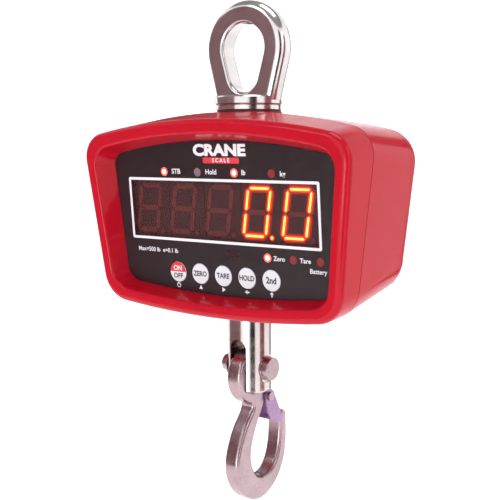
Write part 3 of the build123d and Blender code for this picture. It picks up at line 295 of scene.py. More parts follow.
@dataclass(frozen=True)
class Moulding:
    """Plastic, rubber or film with a fine moulded grain.

    Attributes:
        name: the material's name.
        colour: its middle colour.
        roughness: its middle roughness.
        variation: how far the colour goes either way, as a share.
        grain_scale: features of the grain per metre.
        depth: depth of the grain in metres.
        coat: weight of a gloss coat.
        cloud: features per metre of the change in colour.
        smear: features per metre of the change in roughness.
        smear_range: how far the roughness goes either way.
    """

    name: str
    colour: Colour
    roughness: float = 0.45
    variation: float = 0.08
    grain_scale: float = 1500.0
    depth: float = 0.00004
    coat: float = 0.0
    cloud: float = 70.0
    smear: float = 180.0
    smear_range: float = 0.06

    def make(self) -> bpy.types.Material:
        """Build the material."""
        bench = NodeBench(self.name)
        cloud = bench.noise(self.cloud, detail=3.0)
        low = shade(self.colour, 1.0 - self.variation)
        high = shade(self.colour, 1.0 + self.variation)
        bench.feed(bench.tint(cloud, low, high), "Base Color")
        smear = bench.noise(self.smear, detail=4.0)
        dull = bench.ramp(smear, self.roughness - self.smear_range, self.roughness + self.smear_range)
        bench.feed(dull, "Roughness")
        bench.set("Coat Weight", self.coat)
        bench.bump(bench.noise(self.grain_scale, detail=2.0), self.depth, strength=0.35)
        return bench.material


@dataclass(frozen=True)
class CircuitBoard:
    """Green solder mask over copper tracks."""

    name: str
    mask: Colour = (0.010, 0.115, 0.040)
    copper: Colour = (0.035, 0.210, 0.075)
    tracks: float = 260.0  # tracks per metre
    track_depth: float = 0.00003  # in metres
    smear: float = 400.0  # features per metre of the change in roughness

    def make(self) -> bpy.types.Material:
        """Build the material."""
        bench = NodeBench(self.name)
        cells = bench.add("ShaderNodeTexVoronoi", distance="CHEBYCHEV", feature="F1")
        cells.inputs["Scale"].default_value = self.tracks
        bench.join(bench.place, cells.inputs["Vector"])
        bench.feed(bench.tint(cells.outputs["Distance"], self.mask, self.copper), "Base Color")
        smear = bench.noise(self.smear, detail=2.0)
        bench.feed(bench.ramp(smear, low=0.3, high=0.42), "Roughness")
        bench.bump(cells.outputs["Distance"], self.track_depth, strength=0.3)
        return bench.material


@dataclass(frozen=True)
class Glow:
    """Lit red display plastic.

    Attributes:
        name: the material's name.
        colour: colour of the plastic.
        light: colour of its own light.
        strength: how bright that light is.
        speckle: features per metre of the change in both colours.
        roughness: its roughness.
    """

    name: str
    colour: Colour
    light: Colour
    strength: float
    speckle: float = 500.0
    roughness: float = 0.35

    def make(self) -> bpy.types.Material:
        """Build the material."""
        bench = NodeBench(self.name)
        speckle = bench.noise(self.speckle, detail=2.0)
        bench.feed(bench.tint(speckle, shade(self.colour, 0.9), self.colour), "Base Color")
        bench.feed(bench.tint(speckle, shade(self.light, 0.92), self.light), "Emission Color")
        bench.set("Emission Strength", self.strength)
        bench.set("Roughness", self.roughness)
        return bench.material


@dataclass(frozen=True)
class SmokedWindow:
    """Dark red see-through sheet in front of the digits.

    Attributes:
        name: the material's name.
        colour: the sheet's colour.
        opacity: how much it hides.
        sheen: specular level.
        cloud: features per metre of the change in colour.
        smear: features per metre of the change in roughness.
        ripple: features of the surface's ripple per metre.
        ripple_depth: depth of the ripple in metres.
    """

    name: str
    colour: Colour = (0.110, 0.034, 0.036)
    opacity: float = 0.20
    sheen: float = 0.2
    cloud: float = 45.0
    smear: float = 220.0
    ripple: float = 90.0
    ripple_depth: float = 0.00001

    def make(self) -> bpy.types.Material:
        """Build the material."""
        bench = NodeBench(self.name)
        cloud = bench.noise(self.cloud, detail=3.0)
        bench.feed(bench.tint(cloud, shade(self.colour, 0.85), self.colour), "Base Color")
        smear = bench.noise(self.smear, detail=2.0)
        bench.feed(bench.ramp(smear, low=0.10, high=0.14), "Roughness")
        bench.set("Alpha", self.opacity)
        bench.set("Specular IOR Level", self.sheen)
        bench.bump(bench.noise(self.ripple, detail=1.0), self.ripple_depth, strength=0.08)
        bench.material.surface_render_method = "BLENDED"
        return bench.material


RED = Paint("red_gloss_paint", (0.40, 0.0022, 0.013))
CHROME = Plated("polished_chrome", (0.63, 0.59, 0.59), 0.10, 0.12, 420.0, 0.00006)
SHAFT = Plated("turned_chrome", (0.60, 0.53, 0.51), 0.10, 0.10, 900.0, 0.00002, Grain.LEVEL)
ZINC = Plated("bright_zinc", (0.42, 0.31, 0.33), 0.20, 0.14, 380.0, 0.00008)
LATCH_ZINC = Plated("violet_zinc", (0.34, 0.22, 0.36), 0.22, 0.14, 600.0, 0.00006)
STEEL = Plated("satin_steel", (0.56, 0.55, 0.56), 0.26, 0.14, 1200.0, 0.00004, Grain.UPRIGHT)
ALLOY = Plated("milled_alloy", (0.66, 0.67, 0.69), 0.28, 0.14, 900.0, 0.00005, Grain.LEVEL)
BRASS = Plated("nickelled_brass", (0.60, 0.56, 0.50), 0.20, 0.12)
PLATE = Plated("anodised_plate", (0.70, 0.70, 0.71), 0.32, 0.10, 1600.0, 0.00002, Grain.LEVEL)
PANEL_FILM = Moulding("panel_film", (0.014, 0.007, 0.009), 0.34, 0.06, 1800.0, 0.00001, 0.1)
RUBBER = Moulding("black_rubber", (0.018, 0.017, 0.018), 0.62, 0.10, 1800.0, 0.00006)
BLACK = Moulding("black_plastic", (0.020, 0.020, 0.022), 0.42)
DIGIT_FACE = Moulding("digit_face", (0.030, 0.012, 0.013), 0.60, 0.04, 600.0, 0.000004)
CELL_WRAP = Moulding("battery_wrap", (0.050, 0.070, 0.110), 0.36)
KEY_WHITE = Moulding("key_white", (0.62, 0.60, 0.64), 0.34, 0.03, 2200.0, 0.00002, 0.2)
KEY_RED = Moulding("key_red", (0.62, 0.02, 0.03), 0.34, 0.03, 2200.0, 0.00002, 0.2)
PRINT_WHITE = Moulding("white_print", (0.70, 0.66, 0.70), 0.5, 0.04, 2400.0, 0.00001)
PRINT_DARK = Moulding("dark_print", (0.030, 0.022, 0.034), 0.5, 0.04, 2400.0, 0.00001)
PRINT_RED = Moulding("red_print", (0.60, 0.015, 0.030), 0.5, 0.04, 2400.0, 0.00001)
DARK_LAMP = Moulding("dark_red_lamp", (0.200, 0.022, 0.026), 0.22, 0.10, 700.0, 0.00002, 0.5)
GREY_LAMP = Moulding("clear_grey_lamp", (0.200, 0.130, 0.160), 0.22, 0.10, 700.0, 0.00002, 0.5)
DARK_BAR = Moulding("dark_segment", (0.150, 0.026, 0.026), 0.50, 0.06, 600.0, 0.000004)
RECEIVER = Moulding("receiver_window", (0.030, 0.006, 0.009), 0.25, 0.08, 900.0, 0.00002, 0.3)
LIT_BAR = Glow("lit_segment", (0.8, 0.05, 0.02), (1.0, 0.050, 0.012), 1.7)
LIT_CORE = Glow("lit_segment_core", (0.9, 0.50, 0.10), (1.0, 0.50, 0.070), 3.4)
LIT_HALO = Glow("lit_segment_halo", (0.3, 0.01, 0.01), (1.0, 0.020, 0.015), 0.34)
LIT_LAMP = Glow("lit_lamp", (0.9, 0.10, 0.06), (1.0, 0.080, 0.060), 1.5)
LAMP_CORE = Glow("lit_lamp_core", (1.0, 0.80, 0.78), (1.0, 0.620, 0.560), 2.6)
WINDOW = SmokedWindow("smoked_window")
BOARD = CircuitBoard("circuit_board")


class Wardrobe:
    """Makes each material once and puts it on pieces."""

    def __init__(self) -> None:
        """Start with no materials made."""
        self.made: dict[str, bpy.types.Material] = {}

    def get(self, finish: object) -> bpy.types.Material:
        """The material of a finish, made on first use.

        Args:
            finish: one of the finishes above.

        Returns:
            Its material.
        """
        if finish.name not in self.made:
            self.made[finish.name] = finish.make()
        return self.made[finish.name]

    def dress(self, piece: bpy.types.Object, finish: object) -> None:
        """Give a piece one finish all over.

        Args:
            piece: the object.
            finish: its finish.
        """
        piece.data.materials.clear()
        piece.data.materials.append(self.get(finish))


# ---- mesh helpers -----------------------------------------------------------
def new_piece(name: str, mesh: bpy.types.Mesh) -> bpy.types.Object:
    """Put a mesh in the scene as an object.

    Args:
        name: the piece's name.
        mesh: its mesh.

    Returns:
        The object.
    """
    piece = bpy.data.objects.new(name, mesh)
    bpy.context.scene.collection.objects.link(piece)
    return piece


@dataclass
class PanelPlane:
    """The plane of the display panel's surface.

    Points on it are given as s to the reader's right and t upwards, in millimetres from
    the middle of the display window.
    """

    tilt: float = math.radians(5.0)
    window_thick: float = 1.95
    window_sunk: float = 0.05
    origin: Vector = field(init=False)
    outward: Vector = field(init=False)
    up: Vector = field(init=False)

    def __post_init__(self) -> None:
        """Find the plane from the window's place in the frame."""
        low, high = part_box("window_lens")
        self.outward = Vector((0.0, -math.cos(self.tilt), -math.sin(self.tilt)))
        self.up = Vector((0.0, -math.sin(self.tilt), math.cos(self.tilt)))
        depth = (self.window_sunk + self.window_thick / 2) * MM
        self.origin = (low + high) / 2 + self.outward * depth

    def matrix(self, lift: float = 0.0) -> Matrix:
        """Transform from (s, t, out) in millimetres to the frame.

        Args:
            lift: distance in front of the panel's surface.

        Returns:
            The transform.
        """
        axes = Matrix((Vector((1, 0, 0)), self.up, self.outward)).transposed().to_4x4()
        place = Matrix.Translation(self.origin + self.outward * (lift * MM))
        return place @ axes @ Matrix.Scale(MM, 4)


def prism(
    bm: bmesh.types.BMesh,
    outline: Sequence[Point],
    holes: Sequence[Sequence[Point]],
    thick: float,
) -> None:
    """Add a flat plate with an outline and holes to a mesh under construction.

    Args:
        bm: the mesh.
        outline: its outer corners.
        holes: corners of each hole.
        thick: its thickness, standing up from its plane.
    """
    edges = []
    for loop in (outline, *holes):
        verts = [bm.verts.new((x, y, 0.0)) for x, y in loop]
        edges += [bm.edges.new((verts[i], verts[(i + 1) % len(verts)])) for i in range(len(verts))]
    filled = bmesh.ops.triangle_fill(bm, use_beauty=True, use_dissolve=False, edges=edges)
    faces = [item for item in filled["geom"] if isinstance(item, bmesh.types.BMFace)]
    bmesh.ops.recalc_face_normals(bm, faces=faces)
    raised = bmesh.ops.extrude_face_region(bm, geom=faces)
    verts = [item for item in raised["geom"] if isinstance(item, bmesh.types.BMVert)]
    bmesh.ops.translate(bm, verts=verts, vec=(0, 0, thick))


def circle(
    radius: float,
    centre: Point = (0.0, 0.0),
    start: float = 0.0,
    end: float = 360.0,
) -> list[Point]:
    """Points along a circle or an arc.

    Args:
        radius: its radius.
        centre: its centre.
        start: first angle in degrees.
        end: last angle; a full turn leaves the repeated point out.

    Returns:
        The points, anticlockwise.
    """
    full = abs(end - start) >= 360.0
    count = 48
    steps = count if full else count // 2
    points = []
    for step in range(steps if full else steps + 1):
        angle = math.radians(start + (end - start) * step / steps)
        points.append((centre[0] + radius * math.cos(angle), centre[1] + radius * math.sin(angle)))
    return points


def rounded_box(
    width: float,
    height: float,
    corner: float,
    centre: Point = (0.0, 0.0),
) -> list[Point]:
    """Corners of a rounded rectangle.

    Args:
        width: its width.
        height: its height.
        corner: its corner radius.
        centre: its centre.

    Returns:
        The points, anticlockwise.
    """
    points: list[Point] = []
    for turn, (sx, sy) in enumerate(((1, 1), (-1, 1), (-1, -1), (1, -1))):
        middle = (centre[0] + sx * (width / 2 - corner), centre[1] + sy * (height / 2 - corner))
        points += circle(corner, middle, turn * 90.0, turn * 90.0 + 90.0)[::4]
    return points


class Printer:
    """Prints thin raised shapes and words on the panel's surface."""

    ink = 0.03  # thickness of the print

    def __init__(self, plane: PanelPlane, wardrobe: Wardrobe) -> None:
        """Keep the plane and the finishes.

        Args:
            plane: the panel's plane.
            wardrobe: the finishes.
        """
        self.plane = plane
        self.wardrobe = wardrobe

    def shapes(
        self,
        name: str,
        loops: Iterable[tuple[Sequence[Point], Sequence[Sequence[Point]]]],
        finish: object,
        body: str = "housing",
        lift: float = PRINT_LIFT,
    ) -> bpy.types.Object:
        """Print flat shapes.

        Args:
            name: the piece's name.
            loops: each shape's outline and its holes.
            finish: the ink.
            body: the body that it moves with.
            lift: distance in front of the panel's surface.

        Returns:
            The piece.
        """
        bm = bmesh.new()
        for outline, holes in loops:
            prism(bm, outline, holes, self.ink)
        bmesh.ops.recalc_face_normals(bm, faces=bm.faces)
        mesh = bpy.data.meshes.new(name)
        bm.to_mesh(mesh)
        bm.free()
        mesh.transform(self.plane.matrix(lift))
        piece = new_piece(name, mesh)
        self.wardrobe.dress(piece, finish)
        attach(piece, body)
        LOG.info("printed %s", name)
        return piece

    def words(
        self,
        name: str,
        lines: Sequence[tuple[str, float, float, float]],
        finish: object,
        body: str = "housing",
        lift: float = PRINT_LIFT,
        stretch: float = 1.0,
        weight: float = 0.025,
    ) -> bpy.types.Object:
        """Print words, each centred on its place.

        Args:
            name: the piece's name.
            lines: text, s, t and capital height of each word.
            finish: the ink.
            body: the body that it moves with.
            lift: distance in front of the panel's surface.
            stretch: width of the letters against the font's own.
            weight: how much each stroke is thickened, against the capital height.

        Returns:
            The piece.
        """
        capital = 0.70  # the font's capital height against its size
        bm = bmesh.new()
        for text, s, t, height in lines:
            curve = bpy.data.curves.new(name + "_text", "FONT")
            curve.body = text
            curve.size = height / capital
            curve.align_x = "CENTER"
            curve.align_y = "CENTER"
            curve.extrude = self.ink / 2
            curve.resolution_u = 3
            curve.offset = height * weight
            holder = bpy.data.objects.new(name + "_text", curve)
            flat = bpy.data.meshes.new_from_object(holder)
            widen = Matrix.Diagonal((stretch, 1.0, 1.0, 1.0))
            flat.transform(Matrix.Translation((s, t, 0.0)) @ widen)
            bm.from_mesh(flat)
            bpy.data.meshes.remove(flat)
            bpy.data.objects.remove(holder)
            bpy.data.curves.remove(curve)
        mesh = bpy.data.meshes.new(name)
        bm.to_mesh(mesh)
        bm.free()
        mesh.transform(self.plane.matrix(lift + self.ink / 2))
        piece = new_piece(name, mesh)
        self.wardrobe.dress(piece, finish)
        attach(piece, body)
        LOG.info("printed %s", name)
        return piece


# ---- sub-assemblies ---------------------------------------------------------
@dataclass
class DisplayPrint:
    """White border, lamp legends, rating line and title plate on the display panel.

    Sizes are in millimetres, and places are measured from the middle of the window.

    Attributes:
        window_w: width inside the border.
        window_h: height inside the border.
        window_corner: corner radius inside the border.
        border: width of the border's line.
        border_corner: corner radius outside the border.
        lamp_row: height of the upper legends.
        legend_h: capital height of the upper legends.
        small_h: capital height of the lower legends.
        rating_h: capital height of the rating line.
        title_h: capital height of the title.
        title_t: height of the title's middle.
        plate_w: width of the title plate.
        plate_h: height of the title plate.
        plate_t: height of the plate's middle.
        plate_s: distance of the plate's middle to the right.
        plate_corner: corner radius of the plate.
        plate_word_h: capital height of the word on the plate.
    """

    window_w: float = 134.3
    window_h: float = 34.6
    window_corner: float = 0.4
    border: float = 1.6
    border_corner: float = 1.2
    lamp_row: float = 22.8
    legend_h: float = 2.9
    small_h: float = 2.6
    rating_h: float = 2.6
    title_h: float = 6.2
    title_t: float = 35.2
    plate_w: float = 26.0
    plate_h: float = 3.4
    plate_t: float = 29.6
    plate_s: float = 3.4
    plate_corner: float = 0.8
    plate_word_h: float = 2.2

    def build(self, printer: Printer) -> None:
        """Print the panel.

        Args:
            printer: prints on the panel.
        """
        outer_w = self.window_w + 2 * self.border
        outer_h = self.window_h + 2 * self.border
        outer = rounded_box(outer_w, outer_h, self.border_corner)
        inner = rounded_box(self.window_w, self.window_h, self.window_corner)
        printer.shapes("window_border", [(outer, [inner])], PRINT_WHITE)
        row = self.lamp_row
        legends = [
            ("STB", -30.5, row, self.legend_h),
            ("Hold", -4.3, row, self.legend_h),
            ("lb", 18.9, row, self.legend_h),
            ("kg", 45.4, row - 0.3, self.legend_h),
            ("Zero", 40.4, -25.2, self.small_h),
            ("Tare", 57.7, -25.2, self.small_h),
            ("Battery", 65.8, -30.6, self.small_h),
        ]
        printer.words("panel_legends", legends, PRINT_WHITE)
        rating = [("Max=500 lb  e=0.1 lb", -49.0, -25.4, self.rating_h)]
        printer.words("rating_line", rating, PRINT_WHITE, weight=0.015)
        title = [("CRANE", 2.2, self.title_t, self.title_h)]
        printer.words("title_word", title, PRINT_WHITE, stretch=1.30, weight=0.070)
        middle = (self.plate_s, self.plate_t)
        plate = rounded_box(self.plate_w, self.plate_h, self.plate_corner, middle)
        printer.shapes("title_plate", [(plate, [])], PRINT_RED)
        under = [("S C A L E", *middle, self.plate_word_h)]
        printer.words("title_plate_word", under, PRINT_WHITE, lift=OVERPRINT_LIFT, weight=0.03)


@dataclass
class KeyPrint:
    """Red half of the power key's cap, words of the five keys and the signs below them.

    Sizes are in millimetres, and places are measured from the middle of the window.

    Attributes:
        radius: radius of the red half.
        pitch: distance between keys.
        row: height of the keys' middles.
        sign_row: height of the signs' middles.
        cap_rise: how far the red half's centre is above the row.
        power_rise: how far the power key's upper word is above the row.
        power_drop: how far its lower word is below the row.
        power_h: capital height of the power key's words.
        word_h: capital height of the other keys' words.
        second_h: capital height of the last key's word.
        names: the keys' names from left to right.
    """

    radius: float = 6.0
    pitch: float = 17.1
    row: float = -38.1
    sign_row: float = -46.2
    cap_rise: float = 0.15
    power_rise: float = 2.3
    power_drop: float = 2.4
    power_h: float = 2.9
    word_h: float = 3.0
    second_h: float = 3.7
    names: tuple[str, ...] = ("power", "zero", "tare", "hold", "second")

    def place(self, index: int) -> float:
        """Distance of a key from the middle of the row."""
        return (index - (len(self.names) - 1) / 2) * self.pitch

    def build(self, printer: Printer) -> None:
        """Print the caps and the signs below them.

        Args:
            printer: prints on the panel.
        """
        first = self.place(0)
        half = circle(self.radius, (first, self.row + self.cap_rise), 0.0, 180.0)
        printer.shapes("power_cap_red", [(half, [])], KEY_RED, "key_power")
        upper = [("ON", first, self.row + self.power_rise, self.power_h)]
        printer.words("power_word_on", upper, PRINT_WHITE, "key_power", OVERPRINT_LIFT, weight=0.04)
        lower = [("OFF", first, self.row - self.power_drop, self.power_h)]
        printer.words("power_word_off", lower, PRINT_DARK, "key_power", weight=0.04)
        others = zip(self.names[1:], ("ZERO", "TARE", "HOLD", "2nd"))
        for index, (name, word) in enumerate(others, start=1):
            height = self.second_h if name == "second" else self.word_h
            line = [(word, self.place(index), self.row, height)]
            body = f"key_{name}"
            printer.words(f"{name}_word", line, PRINT_DARK, body, stretch=0.90, weight=0.045)
        self.signs(printer)

    def signs(self, printer: Printer) -> None:
        """Print the small white signs under the keys.

        Args:
            printer: prints on the panel.
        """
        t = self.sign_row
        s = [self.place(index) for index in range(len(self.names))]
        ring = (circle(1.5, (s[0], t)), [circle(1.05, (s[0], t))[::-1]])
        bar = (rounded_box(0.5, 1.6, 0.2, (s[0], t + 1.2)), [])
        up = ([(s[1] - 1.4, t - 1.1), (s[1] + 1.4, t - 1.1), (s[1], t + 1.4)], [])
        right = ([(s[2] - 1.1, t - 1.4), (s[2] + 1.4, t), (s[2] - 1.1, t + 1.4)], [])
        left = (self.arrow(s[3], t, 90.0), [])
        top = (self.arrow(s[4], t, 0.0), [])
        printer.shapes("key_signs", [ring, up, right, left, top], PRINT_WHITE)
        printer.shapes("power_sign_bar", [bar], PRINT_WHITE)

    @staticmethod
    def arrow(s: float, t: float, turn: float) -> list[Point]:
        """Corners of a small arrow that points up when turn is 0.

        Args:
            s: its centre, across.
            t: its centre, upwards.
            turn: anticlockwise turn in degrees.

        Returns:
            The corners.
        """
        stem = [(-0.4, -1.5), (0.4, -1.5), (0.4, 0.1)]
        head = [(1.3, 0.1), (0.0, 1.7), (-1.3, 0.1), (-0.4, 0.1)]
        cos, sin = math.cos(math.radians(turn)), math.sin(math.radians(turn))
        return [(s + x * cos - y * sin, t + x * sin + y * cos) for x, y in stem + head]


@dataclass
class LitDisplay:
    """Hot cores and dim halo of the lit digits, and the bright middles of the lit lamps.

    Sizes are in millimetres, and places are measured from the middle of the window.

    Attributes:
        pitch: distance between digit modules.
        shift: place of a character from its module's middle.
        width: width of a character.
        height: height of a character.
        slant: how far the characters lean.
        bar: width of a segment.
        point: place of the decimal point from its module's middle.
        point_r: radius of the decimal point.
        bar_depth: depth of the segments' faces behind the panel's surface.
        face_depth: depth of the modules' faces behind the panel's surface.
        lamps: places of the lit lamps.
        lamp_core_r: radius of a lamp's bright middle.
        lamp_core_lift: its distance in front of the panel's surface.
        lit_modules: modules that show a nought, counted from the middle one.
        core_wide: width of a core against a segment's width.
        core_gap: gap at each end of a core against a segment's width.
        halo_wide: width of a halo against a segment's width.
        halo_lap: how far a halo runs past each end against a segment's width.
        point_core: radius of the decimal point's core against the point's.
        core_lift: distance of the cores in front of the segments' faces.
        halo_lift: distance of the halo in front of the modules' faces.
    """

    pitch: float = 27.0
    shift: float = -2.7
    width: float = 18.4
    height: float = 30.5
    slant: float = math.radians(10.5)
    bar: float = 3.0
    point: tuple[float, float] = (6.7, -14.2)
    point_r: float = 1.5
    bar_depth: float = 3.60
    face_depth: float = 4.0
    lamps: tuple[Point, ...] = ((-39.8, 22.6), (12.2, 22.6), (32.4, -25.1))
    lamp_core_r: float = 1.35
    lamp_core_lift: float = -0.08
    lit_modules: tuple[int, ...] = (1, 2)
    core_wide: float = 0.42
    core_gap: float = 0.40
    halo_wide: float = 1.75
    halo_lap: float = 0.45
    point_core: float = 0.55
    core_lift: float = 0.03
    halo_lift: float = 0.02

    def bars(self, module: int) -> list[tuple[Point, Point]]:
        """Centre lines of the six bars of a nought.

        Args:
            module: which module, counted from the middle one.

        Returns:
            Start and end of each bar.
        """
        half_w = (self.width - self.bar) / 2
        half_h = (self.height - self.bar) / 2
        corners = [(-half_w, half_h), (half_w, half_h), (half_w, 0.0), (half_w, -half_h)]
        corners += [(-half_w, -half_h), (-half_w, 0.0)]
        middle = module * self.pitch + self.shift
        leant = [(middle + x + y * math.tan(self.slant), y) for x, y in corners]
        return [(leant[i], leant[(i + 1) % len(leant)]) for i in range(len(leant))]

    @staticmethod
    def strip(start: Point, end: Point, wide: float, inset: float) -> list[Point]:
        """Six-cornered bar along a line.

        Args:
            start: where the line starts.
            end: where it ends.
            wide: the bar's width.
            inset: gap left at each end.

        Returns:
            The corners.
        """
        along = Vector((end[0] - start[0], end[1] - start[1])).normalized()
        side = Vector((-along.y, along.x)) * (wide / 2)
        first = Vector(start) + along * inset
        last = Vector(end) - along * inset
        taper = along * (wide / 2)
        near, far = first + taper, last - taper
        points = (first, near - side, far - side, last, far + side, near + side)
        return [(point.x, point.y) for point in points]

    def build(self, printer: Printer) -> None:
        """Add the glowing pieces.

        Args:
            printer: puts flat pieces on planes parallel to the panel.
        """
        cores, halo = [], []
        core_wide, core_gap = self.bar * self.core_wide, self.bar * self.core_gap
        halo_wide, halo_lap = self.bar * self.halo_wide, self.bar * self.halo_lap
        for module in self.lit_modules:
            for start, end in self.bars(module):
                cores.append((self.strip(start, end, core_wide, core_gap), []))
                halo.append((self.strip(start, end, halo_wide, -halo_lap), []))
        spot = (self.pitch * self.lit_modules[0] + self.point[0], self.point[1])
        cores.append((circle(self.point_r * self.point_core, spot), []))
        core_lift = self.core_lift - self.bar_depth
        printer.shapes("segment_cores", cores, LIT_CORE, lift=core_lift)
        halo_lift = self.halo_lift - self.face_depth
        printer.shapes("segment_halo", halo, LIT_HALO, lift=halo_lift)
        lamps = [(circle(self.lamp_core_r, lamp), []) for lamp in self.lamps]
        printer.shapes("lamp_cores", lamps, LAMP_CORE, lift=self.lamp_core_lift)


@dataclass
class Carried:
    """The frame's own nodes and the finish of each."""

    finishes: tuple[tuple[object, tuple[str, ...]], ...] = (
        (RED, ("front_frame", "rear_housing", "battery_cover")),
        (CHROME, ("lifting_eye", "eye_ring")),
        (SHAFT, ("fork",)),
        (ZINC, ("hook", "hook_pin", "pin_washers", "latch_pin")),
        (LATCH_ZINC, ("latch",)),
        (
            STEEL,
            (
                "clamp_washer", "swivel_cup", "swivel_cap", "lower_race", "upper_race",
                "bearing_balls", "swivel_nut", "nut_split_pin", "pin_ring", "housing_screws",
                "cover_screws", "board_screws", "latch_spring",
            ),
        ),
        (ALLOY, ("load_cell", "gauge_covers")),
        (BRASS, ("bearing_cage", "charger_jack", "jack_nut")),
        (PLATE, ("data_label",)),
        (RUBBER, ("top_gasket", "seam_gasket")),
        (PANEL_FILM, ("front_panel",)),
        (WINDOW, ("window_lens",)),
        (BOARD, ("display_board", "key_board", "control_board")),
        (DIGIT_FACE, ("digit_1", "digit_2", "digit_3", "digit_4", "digit_5")),
        (LIT_BAR, ("segments_lit",)),
        (DARK_BAR, ("segments_dark",)),
        (LIT_LAMP, ("lamps_lit",)),
        (DARK_LAMP, ("lamps_dark",)),
        (GREY_LAMP, ("lamp_hold",)),
        (RECEIVER, ("remote_receiver",)),
        (KEY_WHITE, ("key_power", "key_zero", "key_tare", "key_hold", "key_second")),
        (BLACK, ("board_posts", "key_posts", "control_posts", "key_switches", "buzzer")),
        (CELL_WRAP, ("battery",)),
    )

    def build(self, nodes: dict[str, bpy.types.Object], wardrobe: Wardrobe) -> None:
        """Dress every node.

        Args:
            nodes: the frame's nodes.
            wardrobe: the finishes.
        """
        for finish, names in self.finishes:
            for name in names:
                wardrobe.dress(nodes[name], finish)
                LOG.info("dressed %s in %s", name, finish.name)


# ---- studio -----------------------------------------------------------------
@dataclass(frozen=True)
class SoftLight:
    """A square area light that looks at a point, with places and size in metres."""

    name: str
    place: tuple[float, float, float]
    size: float
    power: float
    colour: Colour = (1.0, 1.0, 1.0)
    target: tuple[float, float, float] = (0.0, 0.0, -0.12)

    def make(self) -> None:
        """Hang the light."""
        light = bpy.data.lights.new(self.name, "AREA")
        light.shape = "SQUARE"
        light.size = self.size
        light.energy = self.power
        light.color = self.colour
        lamp = bpy.data.objects.new(self.name, light)
        lamp.location = self.place
        aim = Vector(self.target) - Vector(self.place)
        lamp.rotation_euler = aim.to_track_quat("-Z", "Y").to_euler()
        bpy.context.scene.collection.objects.link(lamp)


@dataclass(frozen=True)
class DarkCard:
    """Dark card seen only in reflections, which gives bright metal its streaks.

    Azimuth 0 is in front of the display and 90 is at the reader's right.

    Attributes:
        name: the card's name.
        first: azimuth of one side in degrees.
        last: azimuth of the other side.
        low: height of its lower edge in metres.
        high: height of its upper edge.
        colour: its colour.
        radius: its distance from the load axis.
    """

    name: str
    first: float
    last: float
    low: float
    high: float
    colour: Colour
    radius: float = 0.85

    def make(self) -> None:
        """Stand the card."""
        steps = 16
        heights = (self.low, self.high)
        bm = bmesh.new()
        rows = []
        for step in range(steps + 1):
            turn = math.radians(self.first + (self.last - self.first) * step / steps)
            out = Vector((math.sin(turn), -math.cos(turn), 0.0)) * self.radius
            rows.append([bm.verts.new(out + Vector((0.0, 0.0, height))) for height in heights])
        for near, far in zip(rows, rows[1:]):
            bm.faces.new((near[0], far[0], far[1], near[1]))
        mesh = bpy.data.meshes.new(self.name)
        bm.to_mesh(mesh)
        bm.free()
        card = new_piece(self.name, mesh)
        card.data.materials.append(Moulding(self.name + "_cloth", self.colour, 0.9).make())
        card.visible_camera = False
        card.visible_diffuse = False
        card.visible_shadow = False
        card.visible_transmission = False


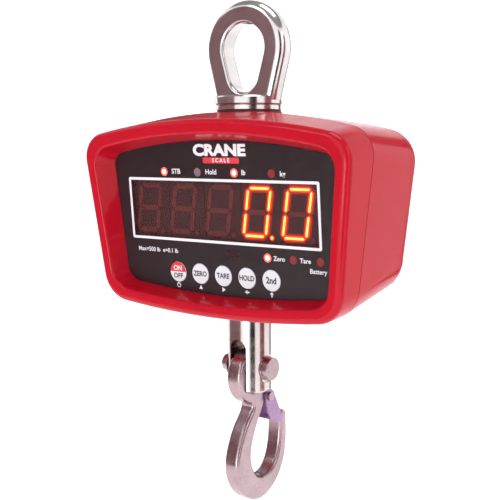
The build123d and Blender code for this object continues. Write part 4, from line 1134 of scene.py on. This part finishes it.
@dataclass
class Studio:
    """Pale floor that sweeps up into a wall, soft lights, dark cards and the camera.

    Attributes:
        floor_z: height of the floor in metres.
        wall_r: radius of the wall.
        sweep_r: radius of the curve between the floor and the wall.
        wall_h: height of the wall's top above the floor.
        eye: the camera's place.
        yaw: how far the camera is turned to the left of straight at the display.
        pitch: how far it looks down.
        roll: how far it is rolled.
        focal: its focal length in millimetres.
        backdrop_glow: strength of the backdrop's own light.
        sky_strength: brightness of the surroundings.
        lights: the lights.
        cards: the cards.
    """

    floor_z: float = -0.46
    wall_r: float = 3.2
    sweep_r: float = 0.9
    wall_h: float = 3.0
    eye: tuple[float, float, float] = (0.33464, -0.46218, -0.05470)
    yaw: float = math.radians(35.89)
    pitch: float = math.radians(6.50)
    roll: float = math.radians(0.23)
    focal: float = 68.265
    backdrop_glow: float = 0.50
    sky_strength: float = 0.40
    lights: tuple[SoftLight, ...] = (
        SoftLight("key_light", (-0.5, -1.2, 1.0), 0.6, 3.0),
        SoftLight("top_light", (0.2, 0.0, 1.3), 0.8, 9.0),
        SoftLight("side_light", (1.4, -0.1, 0.5), 0.5, 2.0),
        SoftLight("low_light", (0.3, -1.2, -0.38), 0.5, 4.0),
    )
    cards: tuple[DarkCard, ...] = (
        DarkCard("card_front_left", -100.0, -14.0, -0.45, 0.45, (0.20, 0.11, 0.12)),
        DarkCard("card_front_right", 36.0, 62.0, -0.45, 0.50, (0.010, 0.010, 0.012)),
        DarkCard("card_right", 88.0, 116.0, -0.45, 0.40, (0.22, 0.045, 0.055)),
        DarkCard("card_back_right", 160.0, 176.0, -0.45, 0.40, (0.06, 0.05, 0.055)),
        DarkCard("card_back_left", 214.0, 236.0, -0.45, 0.40, (0.06, 0.05, 0.055)),
    )

    def camera(self) -> None:
        """Place the camera."""
        right = Vector((math.cos(self.yaw), math.sin(self.yaw), 0.0))
        level = math.cos(self.pitch)
        drop = math.sin(self.pitch)
        ahead = Vector((-math.sin(self.yaw) * level, math.cos(self.yaw) * level, -drop))
        down = ahead.cross(right)
        across = right * math.cos(self.roll) + down * math.sin(self.roll)
        below = down * math.cos(self.roll) - right * math.sin(self.roll)
        data = bpy.data.cameras.new("camera")
        data.lens = self.focal
        data.sensor_width = 36.0
        data.clip_start = 0.01
        camera = bpy.data.objects.new("camera", data)
        turn = Matrix((across, -below, -ahead)).transposed().to_4x4()
        camera.matrix_world = Matrix.Translation(self.eye) @ turn
        bpy.context.scene.collection.objects.link(camera)
        bpy.context.scene.camera = camera

    def backdrop(self) -> None:
        """Build the floor and the wall round it as one turned sheet."""
        profile = [(self.wall_r - self.sweep_r, self.floor_z)]
        steps = 12
        for step in range(1, steps + 1):
            angle = math.pi / 2 * step / steps
            out = self.wall_r - self.sweep_r * (1 - math.sin(angle))
            profile.append((out, self.floor_z + self.sweep_r * (1 - math.cos(angle))))
        profile.append((self.wall_r, self.floor_z + self.wall_h))
        around = 96
        bm = bmesh.new()
        rings = []
        for radius, height in profile:
            ring = []
            for index in range(around):
                angle = 2 * math.pi * index / around
                ring.append(bm.verts.new((radius * math.cos(angle), radius * math.sin(angle), height)))
            rings.append(ring)
        bm.faces.new(rings[0])
        for lower, upper in zip(rings, rings[1:]):
            for index in range(around):
                after = (index + 1) % around
                bm.faces.new((lower[index], lower[after], upper[after], upper[index]))
        for face in bm.faces:
            face.smooth = len(face.verts) == 4
        mesh = bpy.data.meshes.new("backdrop")
        bm.to_mesh(mesh)
        bm.free()
        sheet = new_piece("backdrop", mesh)
        paper = Moulding("backdrop_paper", (0.88, 0.88, 0.88), 0.85, 0.01, 60.0, 0.0002).make()
        surface = paper.node_tree.nodes["Principled BSDF"]
        surface.inputs["Emission Color"].default_value = (1.0, 1.0, 1.0, 1.0)
        surface.inputs["Emission Strength"].default_value = self.backdrop_glow
        sheet.data.materials.append(paper)

    def sky(self) -> None:
        """Even pale surroundings."""
        world = bpy.data.worlds.new("surroundings")
        world.use_nodes = True
        background = world.node_tree.nodes["Background"]
        background.inputs["Color"].default_value = (0.96, 0.96, 0.98, 1.0)
        background.inputs["Strength"].default_value = self.sky_strength
        bpy.context.scene.world = world

    def build(self) -> None:
        """Set up everything that isn't the scale."""
        self.camera()
        self.backdrop()
        self.sky()
        for light in self.lights:
            light.make()
        for card in self.cards:
            card.make()
        bpy.context.scene.view_settings.view_transform = "Standard"


def main() -> None:
    """Build the looks in order."""
    logging.basicConfig(level=logging.INFO, format="%(name)s: %(message)s")
    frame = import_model()
    Studio().build()
    wardrobe = Wardrobe()
    Carried().build(frame["nodes"], wardrobe)
    printer = Printer(PanelPlane(), wardrobe)
    LitDisplay().build(printer)
    DisplayPrint().build(printer)
    KeyPrint().build(printer)


if __name__ == "__main__":
    main()
